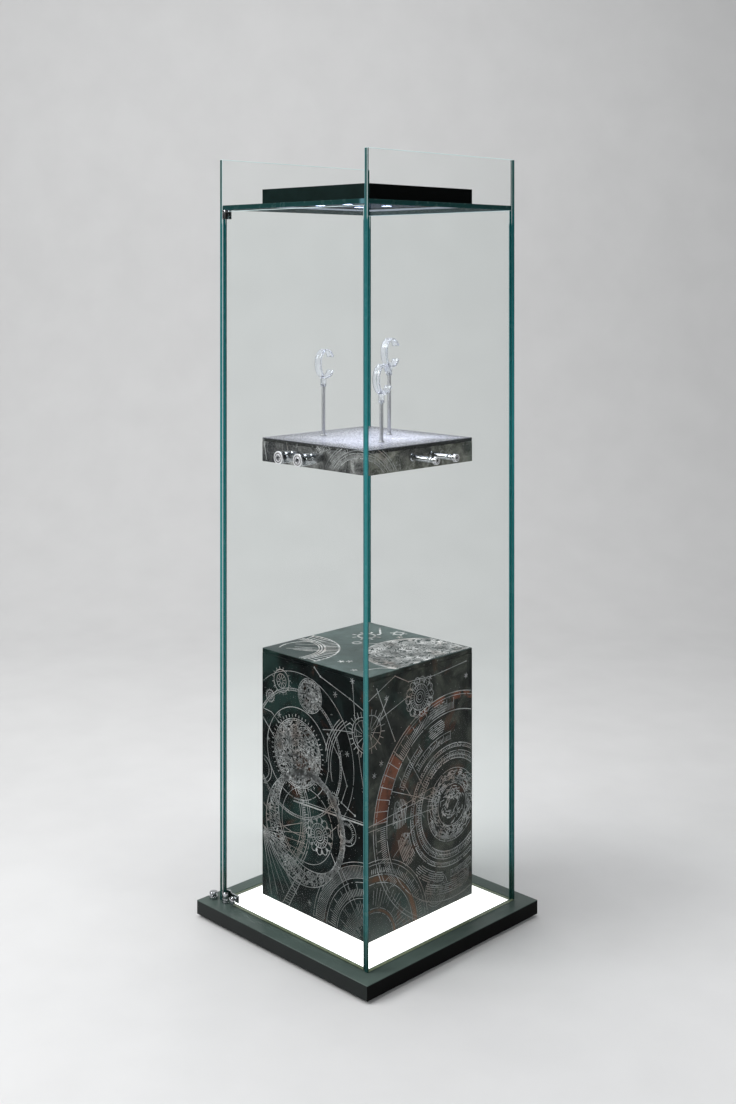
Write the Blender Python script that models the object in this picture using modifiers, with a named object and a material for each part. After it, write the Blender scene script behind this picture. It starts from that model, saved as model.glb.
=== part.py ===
"""Glass display showcase: a lit plinth, a five-pane glass case with a pivoting door, a clad pillar,
a floating shelf with three watch stands, and a light box on the roof.

Metres, +Z up. The origin is on the floor under the middle of the plinth. The door is on the -Y side.
"""

import math

import bmesh
import bpy
from mathutils import Matrix, Vector

for old in list(bpy.data.objects):
    bpy.data.objects.remove(old, do_unlink=True)

# ---------------------------------------------------------------- driving dimensions
GAP = 0.0003  # working gap between neighbouring pieces

PLINTH_W = 0.520
PLINTH_UNDER = 0.0055
PLINTH_TOP = 0.0355
PLINTH_WALL = 0.016
DECK_T = 0.008
DIFFUSER_W = 0.4332
DIFFUSER_T = 0.005
LEDGE_W = 0.410
HUB_W = 0.220
FOOT_R = 0.019
FOOT_AT = 0.212

GLASS_W = 0.450
GLASS_T = 0.008
SIDE_TOP = 1.633
ROOF_UNDER = 1.524
ROOF_T = 0.010
DOOR_GAP = 0.002
DOOR_BOTTOM = 0.038
DOOR_TOP = 1.5215

HINGE = Vector((-0.206, -0.221))

PILLAR_W = 0.320
PILLAR_UNDER = 0.049
PILLAR_TOP = 0.580
SLAB_T = 0.010
SPACER_W = 0.230

SHELF_W = 0.320
SHELF_UNDER = 0.983
SHELF_TOP = 1.034
SHELF_WALL = 0.014

FIX_Z = 1.0085  # height of the rods and the locks
FIX_AT = 0.0295  # their distance from the middle of a face

ROD_R = 0.006
SPIGOT_R = 0.004
CAP_R = 0.009

LOCK_DISC_R = 0.014
LOCK_SLEEVE_R = 0.0082
LOCK_NUT_R = 0.0124
BOLT_R = 0.004
PLUG_R = 0.0055

STEM_R = 0.004
COLLAR_R = 0.0068
STANDS = {  # name: (x, y, stem length above the shelf)
    "left": (-0.088, -0.047, 0.113),
    "right": (0.084, -0.042, 0.088),
    "rear": (0.0, 0.068, 0.136),
}
RING_W = 0.019
RING_T = 0.0038
RING_H = 0.0635
RING_D = 0.043
RING_BACK = 0.004  # how far the ring sits behind its stem
SOCKET_R = 0.0065
SOCKET_H = 0.0195
STEM_IN = 0.0055  # how far the stem goes up its socket

BUTTON_AT = (-0.240, -0.230)

BOX_W = 0.320
BOX_UNDER = ROOF_UNDER + ROOF_T + GAP
BOX_TOP = 1.569
BOX_WALL = 0.003
SPOT_R = 0.011
SPOTS_X = (-0.085, 0.0, 0.085)
SPOTS_Y = (-0.060, 0.060)

# ---------------------------------------------------------------- materials and collections
PALETTE = {  # name: colour, roughness, metallic
    "lacquer": ((0.014, 0.022, 0.021), 0.32, 0.0),
    "steel": ((0.42, 0.43, 0.44), 0.35, 1.0),
    "chrome": ((0.72, 0.73, 0.74), 0.08, 1.0),
    "rubber": ((0.02, 0.02, 0.02), 0.80, 0.0),
    "circuit": ((0.75, 0.77, 0.78), 0.45, 0.0),
    "opal": ((0.93, 0.94, 0.93), 0.40, 0.0),
    "glass": ((0.55, 0.80, 0.75), 0.05, 0.0),
    "slate": ((0.020, 0.032, 0.028), 0.45, 0.0),
    "board": ((0.10, 0.09, 0.08), 0.80, 0.0),
    "stone": ((0.12, 0.12, 0.10), 0.40, 0.0),
    "shelf_face": ((0.62, 0.61, 0.70), 0.30, 0.0),
    "acrylic": ((0.85, 0.88, 0.90), 0.05, 0.0),
    "black": ((0.008, 0.008, 0.009), 0.30, 0.0),
}


def new_collection(name):
    made = bpy.data.collections.new(name)
    bpy.context.scene.collection.children.link(made)
    return made


SHOWCASE = new_collection("glass_display_showcase")
CUTTERS = new_collection("cutters")


def material(name):
    found = bpy.data.materials.get(name)
    if found:
        return found
    colour, roughness, metallic = PALETTE[name]
    made = bpy.data.materials.new(name)
    made.use_nodes = True
    shader = made.node_tree.nodes["Principled BSDF"]
    shader.inputs["Base Color"].default_value = (*colour, 1.0)
    shader.inputs["Roughness"].default_value = roughness
    shader.inputs["Metallic"].default_value = metallic
    return made


# ---------------------------------------------------------------- mesh helpers
def finish(name, bm, location, finish_name, smooth=False):
    """Turns bm into an object of the showcase, or into a cutter when finish_name is None."""
    bmesh.ops.recalc_face_normals(bm, faces=bm.faces)
    mesh = bpy.data.meshes.new(name)
    bm.to_mesh(mesh)
    bm.free()
    if smooth:
        mesh.shade_smooth()
    made = bpy.data.objects.new(name, mesh)
    made.location = location
    if finish_name:
        mesh.materials.append(material(finish_name))
        SHOWCASE.objects.link(made)
    else:
        made.hide_render = True
        made.display_type = "WIRE"
        CUTTERS.objects.link(made)
    return made


def block(name, low, high, finish_name=None):
    """A box between two corners; its origin is its middle."""
    low, high = Vector(low), Vector(high)
    bm = bmesh.new()
    bmesh.ops.create_cube(bm, size=1.0)
    bmesh.ops.scale(bm, vec=high - low, verts=bm.verts)
    return finish(name, bm, (low + high) / 2, finish_name)


def square(name, width, z_low, z_high, finish_name=None):
    """A square slab centred on the object's vertical axis."""
    half = width / 2
    return block(name, (-half, -half, z_low), (half, half, z_high), finish_name)


AIM = {
    "+Z": Matrix.Identity(3),
    "-Z": Matrix.Rotation(math.pi, 3, "X"),
    "+X": Matrix.Rotation(math.pi / 2, 3, "Y"),
    "-X": Matrix.Rotation(-math.pi / 2, 3, "Y"),
    "+Y": Matrix.Rotation(-math.pi / 2, 3, "X"),
    "-Y": Matrix.Rotation(math.pi / 2, 3, "X"),
}


def turned(name, profile, location, finish_name=None, aim="+Z", steps=32):
    """A solid of revolution. profile holds (radius, height) pairs, from the axis or a bore, upwards,
    closed back to its start. aim says which way its height points."""
    bm = bmesh.new()
    rings = []
    for radius, height in profile:
        if radius < 1e-7:
            rings.append([bm.verts.new(AIM[aim] @ Vector((0, 0, height)))])
            continue
        ring = []
        for step in range(steps):
            turn = math.tau * step / steps
            point = Vector((radius * math.cos(turn), radius * math.sin(turn), height))
            ring.append(bm.verts.new(AIM[aim] @ point))
        rings.append(ring)
    pairs = list(zip(rings, rings[1:]))
    if len(rings[0]) > 1:
        pairs.append((rings[-1], rings[0]))
    for one, two in pairs:
        for step in range(steps):
            after = (step + 1) % steps
            corners = [one[step % len(one)], one[after % len(one)]]
            corners += [two[after % len(two)], two[step % len(two)]]
            kept = list(dict.fromkeys(corners))
            if len(kept) > 2:
                bm.faces.new(kept)
    made = finish(name, bm, location, finish_name, smooth=True)
    made.data.set_sharp_from_angle(angle=math.radians(40))
    return made


def rod(name, radius, start, length, finish_name=None, aim="+Z", steps=32):
    return turned(name, [(0, 0), (radius, 0), (radius, length), (0, length)], start, finish_name, aim, steps)


def prism(name, outline, axis, low, high, finish_name=None, location=(0, 0, 0)):
    """Extrudes an outline along an axis. The outline's points are in the other two axes, in order."""
    others = [i for i in range(3) if i != axis]
    bm = bmesh.new()
    ends = []
    for level in (low, high):
        ring = []
        for first, second in outline:
            point = [0.0, 0.0, 0.0]
            point[axis], point[others[0]], point[others[1]] = level, first, second
            ring.append(bm.verts.new(point))
        ends.append(ring)
    bm.faces.new(ends[0])
    bm.faces.new(list(reversed(ends[1])))
    count = len(outline)
    for i in range(count):
        after = (i + 1) % count
        bm.faces.new((ends[0][i], ends[1][i], ends[1][after], ends[0][after]))
    return finish(name, bm, location, finish_name)


def boolean(target, tool, operation="DIFFERENCE"):
    step = target.modifiers.new(tool.name, "BOOLEAN")
    step.operation = operation
    step.solver = "EXACT"
    step.object = tool


def ease(target, width, angle=40):
    """A small chamfer on the sharp edges."""
    step = target.modifiers.new("eased_edges", "BEVEL")
    step.width = width
    step.segments = 1
    step.limit_method = "ANGLE"
    step.angle_limit = math.radians(angle)


def carry(parent, *children):
    """Parents children to a piece, keeping where they are."""
    bpy.context.view_layer.update()
    for child in children:
        child.parent = parent
        child.matrix_parent_inverse = parent.matrix_world.inverted()


# ---------------------------------------------------------------- plinth
def plinth():
    shell = square("plinth_shell", PLINTH_W, PLINTH_UNDER, PLINTH_TOP, "lacquer")
    ease(shell, 0.0008)
    inside = PLINTH_W - 2 * PLINTH_WALL
    boolean(shell, square("plinth_cavity", inside, -0.01, PLINTH_TOP - DECK_T))
    boolean(shell, square("plinth_window", LEDGE_W, 0.01, 0.06))
    rebate_z = PLINTH_TOP - DIFFUSER_T - GAP
    boolean(shell, square("plinth_rebate", DIFFUSER_W + 2 * GAP, rebate_z, 0.06))
    boolean(shell, rod("inlet_hole", 0.0063, (0.150, 0.2, 0.0175), 0.1, aim="+Y"))
    boolean(shell, rod("inlet_seat", 0.0088, (0.150, 0.2576, 0.0175), 0.1, aim="+Y"))
    square("light_diffuser", DIFFUSER_W, rebate_z + GAP, PLINTH_TOP, "opal")

    plate_low, plate_high = PLINTH_UNDER + GAP, 0.0098
    plate = square("plinth_bottom_plate", inside - 2 * GAP, plate_low, plate_high, "steel")
    boolean(plate, square("hub", HUB_W, plate_low + 0.001, rebate_z), "UNION")
    for name, x, y in (
        ("foot_front_left", -1, -1),
        ("foot_front_right", 1, -1),
        ("foot_rear_left", -1, 1),
        ("foot_rear_right", 1, 1),
    ):
        at = (x * FOOT_AT, y * FOOT_AT, 0)
        outline = [(0, 0), (FOOT_R - 0.001, 0), (FOOT_R, 0.001), (FOOT_R, PLINTH_UNDER), (0, PLINTH_UNDER)]
        turned(name, outline, at, "rubber", steps=28)

    panel = square("led_panel", LEDGE_W - 0.010, plate_high + GAP, 0.0128, "circuit")
    boolean(panel, square("hub_window", HUB_W + 0.004, 0.0, 0.05))
    for row in (-0.185, -0.155, -0.130, 0.130, 0.155, 0.185):
        strip = block(f"led_strip_{row}", (-0.19, row - 0.004, 0.012), (0.19, row + 0.004, 0.0142))
        boolean(panel, strip, "UNION")

    barrel = [(0.0028, 0), (0.006, 0), (0.006, 0.020), (0.0085, 0.020), (0.0085, 0.0218), (0.0028, 0.0218)]
    turned("power_inlet", barrel, (0.150, 0.2379, 0.0175), "black", aim="+Y", steps=28)


# ---------------------------------------------------------------- pillar
def mitred_slab(name, width, thick, z_low, z_high, turn, finish_name):
    """One side slab with mitred ends, turned about the vertical axis from the -Y face."""
    half = width / 2
    inner = half - thick
    slip = GAP / 2 * math.sqrt(2)
    outline = [(-half + slip, -half), (half - slip, -half), (inner - slip, -inner), (-inner + slip, -inner)]
    made = prism(name, outline, 2, z_low, z_high, finish_name)
    made.rotation_euler = (0, 0, turn)
    return made


def pillar():
    square("pillar_spacer", SPACER_W, PLINTH_TOP + GAP, PILLAR_UNDER - GAP, "black")
    top_z = PILLAR_TOP - SLAB_T
    core_w = PILLAR_W - 2 * SLAB_T - 2 * GAP
    core = square("pillar_core", core_w, PILLAR_UNDER, top_z - GAP, "board")
    boolean(core, square("pillar_hollow", core_w - 0.030, PILLAR_UNDER + 0.012, PILLAR_TOP))
    for step, side in enumerate(("front", "right", "rear", "left")):
        name = f"pillar_slab_{side}"
        mitred_slab(name, PILLAR_W, SLAB_T, PILLAR_UNDER, top_z - GAP, step * math.pi / 2, "slate")
    top = square("pillar_top", PILLAR_W, top_z, PILLAR_TOP, "slate")
    ease(top, 0.0006)


# ---------------------------------------------------------------- shelf
def fixings(sides):
    """The places of the rods and locks: (name, side, point in the plane of the shelf)."""
    for side in sides:
        for number, along in ((1, -FIX_AT), (2, FIX_AT)):
            yield f"{side}_{number}", side, along


def shelf():
    case = square("shelf_case", SHELF_W, SHELF_UNDER, SHELF_TOP - 0.008 - GAP, "stone")
    pocket = SHELF_W - 2 * SHELF_WALL
    boolean(case, square("shelf_pocket", pocket, SHELF_UNDER + 0.008, SHELF_TOP + 0.01))
    core_w = pocket - 2 * GAP
    core = square("shelf_core", core_w, SHELF_UNDER + 0.008 + GAP, SHELF_TOP - 0.008 - 2 * GAP, "board")
    half = SHELF_W / 2
    for name, side, along in fixings(("right", "left")):
        way = 1 if side == "right" else -1
        start = (way * (half + 0.01), along, FIX_Z)
        hole = rod(f"shelf_hole_{name}", SPIGOT_R + GAP, start, 0.0405, aim="-X" if way > 0 else "+X")
        boolean(case, hole)
        boolean(core, hole)
    for name, side, along in fixings(("door",)):
        hole = rod(f"keeper_{name}", BOLT_R + 0.0005, (along, -half - 0.01, FIX_Z), 0.035, aim="+Y")
        boolean(case, hole)
        boolean(core, hole)
    top = square("shelf_top", SHELF_W, SHELF_TOP - 0.008, SHELF_TOP, "shelf_face")
    ease(top, 0.0006)


# ---------------------------------------------------------------- glass
def rounded_pane(name, x_low, x_high):
    half, r = GLASS_W / 2, 0.006
    outline = [(-half, PLINTH_TOP + GAP), (half, PLINTH_TOP + GAP)]
    for centre_y, start in ((half - r, 0.0), (-half + r, math.pi / 2)):
        for step in range(5):
            turn = start + math.pi / 2 * step / 4
            outline.append((centre_y + r * math.cos(turn), SIDE_TOP - r + r * math.sin(turn)))
    pane = prism(name, outline, 0, x_low, x_high, "glass")
    for number, along in ((1, -FIX_AT), (2, FIX_AT)):
        hole = rod(f"{name}_hole_{number}", SPIGOT_R + 0.001, (x_low - 0.005, along, FIX_Z), 0.02, aim="+X")
        boolean(pane, hole)
    return pane


def panes():
    half = GLASS_W / 2
    inner = half - GLASS_T
    rounded_pane("side_pane_right", inner, half)
    rounded_pane("side_pane_left", -half, -inner)
    wide = inner - 0.0005
    block("back_pane", (-wide, inner, PLINTH_TOP + GAP), (wide, half, ROOF_UNDER - GAP), "glass")
    block("roof_pane", (-wide, -half, ROOF_UNDER), (wide, half, ROOF_UNDER + ROOF_T), "glass")


def door():
    half = GLASS_W / 2
    inner = half - GLASS_T
    wide = inner - DOOR_GAP
    bm = bmesh.new()
    bmesh.ops.create_cube(bm, size=1.0)
    low = Vector((-wide, -half, DOOR_BOTTOM))
    high = Vector((wide, -inner, DOOR_TOP))
    bmesh.ops.scale(bm, vec=high - low, verts=bm.verts)
    bmesh.ops.translate(bm, vec=(low + high) / 2 - Vector((*HINGE, 0)), verts=bm.verts)
    pane = finish("door_pane", bm, (*HINGE, 0), "glass")
    corner = -wide - 0.01
    side = HINGE.x + 0.0118
    boolean(pane, block("notch_low", (corner, -0.3, 0.0), (side, -0.1, 0.0495)))
    boolean(pane, block("notch_high", (corner, -0.3, 1.5112), (side, -0.1, 1.6)))
    boolean(pane, rod("knob_hole", 0.0045, (-0.181, -0.3, 0.0485), 0.2, aim="+Y"))
    for number, along in ((1, -FIX_AT), (2, FIX_AT)):
        hole = rod(f"lock_hole_{number}", LOCK_SLEEVE_R + 0.0005, (along, -0.3, FIX_Z), 0.2, aim="+Y")
        boolean(pane, hole)
    return pane


# ---------------------------------------------------------------- pivots
def pivots():
    x, y = HINGE
    slot_y = (-GLASS_W / 2 - GAP, -GLASS_W / 2 + GLASS_T + GAP)

    pin = [(0, 0), (0.0103, 0), (0.0103, 0.0045), (0.003, 0.0045), (0.003, 0.0115), (0, 0.0115)]
    turned("pivot_bottom_boss", pin, (x, y, PLINTH_TOP + GAP), "chrome", steps=40)
    clamp_z = PLINTH_TOP + GAP + 0.0045 + GAP
    clamp = turned(
        "pivot_bottom_clamp",
        [(0.0033, 0), (0.0106, 0), (0.0106, 0.0178), (0.0098, 0.0186), (0, 0.0186), (0, 0.0075), (0.0033, 0.0075)],
        (x, y, clamp_z),
        "chrome",
        steps=40,
    )
    arm_y = slot_y[1]
    arm = block("clamp_arm", (x, arm_y, 0.0415), (x + 0.035, arm_y + 0.0035, 0.0560))
    boolean(clamp, arm, "UNION")
    slot = block("clamp_slot", (x - 0.02, slot_y[0], 0.0492), (x + 0.05, slot_y[1], 0.08))
    boolean(clamp, slot)
    boolean(clamp, rod("screw_hole", 0.0025, (x + 0.025, -0.25, 0.0485), 0.1, aim="+Y"))

    knob = turned(
        "pivot_knob",
        [(0, -0.0108), (0.002, -0.0108), (0.002, -0.0082), (0.004, -0.0082), (0.004, 0)]
        + [(0.0085, 0), (0.0085, 0.0030), (0.0072, 0.0052), (0.0045, 0.0064), (0, 0.0068)],
        (x + 0.025, slot_y[0], 0.0485),
        "chrome",
        aim="-Y",
        steps=32,
    )

    boss_z = ROOF_UNDER - GAP
    turned("pivot_top_boss", pin, (x, y, boss_z), "chrome", aim="-Z", steps=40)
    top_z = boss_z - 0.0045 - GAP
    outline = [(0.0033, 0), (0.0100, 0), (0.0100, 0.0145), (0, 0.0145), (0, 0.0072), (0.0033, 0.0072)]
    clamp_top = turned("pivot_top_clamp", outline, (x, y, top_z), "chrome", aim="-Z", steps=40)
    slot_top = block("top_slot", (x - 0.02, slot_y[0], 1.40), (x + 0.05, slot_y[1], 1.5112 + GAP))
    boolean(clamp_top, slot_top)
    return clamp, knob, clamp_top


# ---------------------------------------------------------------- rods and locks
def rods():
    inner = GLASS_W / 2 - GLASS_T
    half = SHELF_W / 2
    for name, side, along in fixings(("right", "left")):
        way = 1 if side == "right" else -1
        aim = "+X" if way > 0 else "-X"
        span = inner - GAP - (half + GAP)
        shank = [
            (0, -0.024),
            (SPIGOT_R, -0.024),
            (SPIGOT_R, 0),
            (ROD_R + 0.0022, 0),
            (ROD_R + 0.0022, 0.003),
            (ROD_R, 0.0045),
            (ROD_R, span),
            (SPIGOT_R, span),
            (SPIGOT_R, span + 0.0115),
            (0, span + 0.0115),
        ]
        turned(f"rod_{name}", shank, (way * (half + GAP), along, FIX_Z), "chrome", aim)
        cap = [
            (0, 0.0040),
            (SPIGOT_R + GAP, 0.0040),
            (SPIGOT_R + GAP, 0),
            (CAP_R, 0),
            (CAP_R, 0.0026),
            (0.0080, 0.0030),
            (0.0080, 0.0058),
            (0.0068, 0.0070),
            (0.0034, 0.0070),
            (0.0034, 0.0056),
            (0, 0.0056),
        ]
        turned(f"cap_{name}", cap, (way * (GLASS_W / 2 + GAP), along, FIX_Z), "chrome", aim)


def locks():
    """Two key locks through the door. The plug and the bolt turn and slide on the lock's own axis."""
    front = -GLASS_W / 2
    made = []
    for number, along in ((1, -FIX_AT), (2, FIX_AT)):
        body = turned(
            f"lock_body_{number}",
            [
                (PLUG_R + GAP, 0.0052),
                (0.0082, 0.0052),
                (0.0086, 0.0046),
                (0.0098, 0.0046),
                (0.0102, 0.0052),
                (LOCK_DISC_R - 0.0012, 0.0052),
                (LOCK_DISC_R, 0.0040),
                (LOCK_DISC_R, 0),
                (LOCK_SLEEVE_R, 0),
                (LOCK_SLEEVE_R, -0.0622),
                (BOLT_R + GAP, -0.0622),
                (BOLT_R + GAP, -0.0150),
                (PLUG_R + GAP, -0.0150),
            ],
            (along, front - GAP, FIX_Z),
            "chrome",
            aim="-Y",
            steps=36,
        )
        nut = turned(
            f"lock_nut_{number}",
            [
                (LOCK_SLEEVE_R + GAP, 0),
                (LOCK_NUT_R, 0),
                (LOCK_NUT_R, 0.016),
                (0.0108, 0.017),
                (0.0108, 0.019),
                (0.0116, 0.020),
                (0.0116, 0.026),
                (0.0094, 0.047),
                (LOCK_SLEEVE_R + GAP, 0.047),
            ],
            (along, front + GLASS_T + GAP, FIX_Z),
            "chrome",
            aim="+Y",
            steps=36,
        )
        plug = rod(f"lock_plug_{number}", PLUG_R, (along, front - 0.0060, FIX_Z), 0.0205, "chrome", "+Y")
        slit = block(
            f"keyway_{number}",
            (along - 0.0006, front - 0.0080, FIX_Z - 0.0030),
            (along + 0.0006, front + 0.0010, FIX_Z + 0.0030),
        )
        boolean(plug, slit)
        bolt_start = (along, front + 0.0152, FIX_Z)
        bolt = rod(f"lock_bolt_{number}", BOLT_R, bolt_start, 0.0452, "steel", "+Y", steps=24)
        made += [body, nut, plug, bolt]
    return made


# ---------------------------------------------------------------- button
def button():
    x, y = BUTTON_AT
    bezel = [
        (0.0066, 0),
        (0.0086, 0),
        (0.0086, 0.0040),
        (0.0094, 0.0046),
        (0.0094, 0.0062),
        (0.0084, 0.0068),
        (0.0066, 0.0068),
    ]
    turned("button_bezel", bezel, (x, y, PLINTH_TOP + GAP), "chrome")
    head = [
        (0, 0),
        (0.0062, 0),
        (0.0062, 0.0078),
        (0.0092, 0.0078),
        (0.0092, 0.0104),
        (0.0080, 0.0122),
        (0.0050, 0.0130),
        (0, 0.0132),
    ]
    turned("push_button", head, (x, y, PLINTH_TOP + 0.0034), "chrome")


# ---------------------------------------------------------------- watch stands
def c_ring_outline():
    """An upright oval open towards +Y, as (y, z) points about its middle."""
    outer, inner = [], []
    opening = math.radians(58)
    steps = 40
    for step in range(steps + 1):
        turn = opening / 2 + (math.tau - opening) * step / steps
        y, z = math.cos(turn), math.sin(turn)
        outer.append((y * RING_D / 2, z * RING_H / 2))
        inner.append((y * (RING_D / 2 - RING_T), z * (RING_H / 2 - RING_T)))
    return outer + inner[::-1]


def stands():
    for name, (x, y, length) in STANDS.items():
        collar = [(STEM_R + GAP, 0), (COLLAR_R, 0), (COLLAR_R, 0.0012), (0.0053, 0.0032), (STEM_R + GAP, 0.0032)]
        turned(f"collar_{name}", collar, (x, y, SHELF_TOP + GAP), "black", steps=24)
        rod(f"stem_{name}", STEM_R, (x, y, SHELF_TOP + GAP), length - GAP, "steel", steps=24)
        low = SHELF_TOP + length - STEM_IN
        middle = SOCKET_H - 0.0018 + RING_H / 2
        outline = [(away + RING_BACK, up + middle) for away, up in c_ring_outline()]
        ring = prism(f"c_ring_{name}", outline, 0, -RING_W / 2, RING_W / 2, "acrylic", (x, y, low))
        socket = rod(f"socket_{name}", SOCKET_R, (x, y, low), SOCKET_H, steps=24)
        boolean(ring, socket, "UNION")
        bore = rod(f"socket_bore_{name}", STEM_R + GAP, (x, y, low - 0.01), 0.01 + STEM_IN + GAP, steps=24)
        boolean(ring, bore)


# ---------------------------------------------------------------- light box
def light_box():
    cover = square("lightbox_cover", BOX_W, BOX_UNDER, BOX_TOP, "black")
    boolean(cover, square("lightbox_hollow", BOX_W - 2 * BOX_WALL, BOX_UNDER - 0.01, BOX_TOP - BOX_WALL))
    boolean(cover, rod("gland_hole", 0.0048, (0.100, 0.14, 1.552), 0.05, aim="+Y", steps=24))
    inside = BOX_W - 2 * BOX_WALL - 2 * GAP
    plate = square("spot_plate", inside, BOX_UNDER + 0.0015, BOX_UNDER + 0.0045, "circuit")
    for x in SPOTS_X:
        for y in SPOTS_Y:
            lens = rod(f"spot_{x}_{y}", SPOT_R, (x, y, BOX_UNDER + 0.0003), 0.009, steps=24)
            boolean(plate, lens, "UNION")
    gland = [(0.0022, 0), (0.0045, 0), (0.0045, 0.0065), (0.0075, 0.0065), (0.0075, 0.0125), (0.0022, 0.0125)]
    turned("lightbox_gland", gland, (0.100, 0.1540, 1.552), "black", aim="+Y", steps=24)


plinth()
pillar()
shelf()
panes()
pane = door()
clamp, knob, clamp_top = pivots()
rods()
lock_pieces = locks()
button()
stands()
light_box()
carry(pane, clamp, knob, clamp_top, *lock_pieces)
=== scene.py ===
"""Looks for the glass display showcase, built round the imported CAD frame."""

import math
import random

import bmesh
import bpy
from mathutils import Matrix, Vector


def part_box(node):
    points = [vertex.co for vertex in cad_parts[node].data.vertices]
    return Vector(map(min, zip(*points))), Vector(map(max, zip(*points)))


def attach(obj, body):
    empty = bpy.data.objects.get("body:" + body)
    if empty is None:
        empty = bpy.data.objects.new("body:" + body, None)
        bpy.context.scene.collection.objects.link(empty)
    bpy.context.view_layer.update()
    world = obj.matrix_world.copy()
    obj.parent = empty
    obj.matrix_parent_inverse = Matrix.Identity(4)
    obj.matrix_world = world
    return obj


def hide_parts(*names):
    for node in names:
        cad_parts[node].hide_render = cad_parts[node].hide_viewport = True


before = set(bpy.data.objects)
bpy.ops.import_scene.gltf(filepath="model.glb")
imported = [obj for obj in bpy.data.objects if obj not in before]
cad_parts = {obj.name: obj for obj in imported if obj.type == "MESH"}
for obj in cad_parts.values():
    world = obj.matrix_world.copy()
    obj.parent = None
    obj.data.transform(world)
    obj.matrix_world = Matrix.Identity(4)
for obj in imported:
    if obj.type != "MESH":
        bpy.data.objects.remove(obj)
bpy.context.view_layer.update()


def side_of(node, end, axis):
    """Where the low (0) or the high (1) side of a CAD node lies along an axis, in metres."""
    return round(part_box(node)[end][axis], 5)


TAU = math.tau
GAP = 0.0003  # left free between pieces that touch
OUTER = side_of("side_pane_right", 1, 0)  # outer faces of the glass case, from the middle
THICK = round(OUTER - side_of("side_pane_right", 0, 0), 5)  # of a pane
HALF = side_of("pillar_top", 1, 0)  # half the width of the pillar and of the shelf
DECK = side_of("plinth_shell", 1, 2)
ROOF = side_of("roof_pane", 0, 2)
PILLAR_LOW, PILLAR_TOP = side_of("pillar_slab_front", 0, 2), side_of("pillar_top", 1, 2)
SHELF_LOW, SHELF_TOP = side_of("shelf_case", 0, 2), side_of("shelf_top", 1, 2)
FIX_Z, FIX_AT = 1.0085, 0.0295  # height of the rods and the locks, and their distance from the middle
PIVOT = (-0.206, -0.221)
KNOB = (PIVOT[0] + 0.025, -0.2253, 0.0485)
BUTTON = (-0.24, -0.23)
STANDS = {"left": (-0.088, -0.047, 0.113), "right": (0.084, -0.042, 0.088), "rear": (0.0, 0.068, 0.136)}


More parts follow.
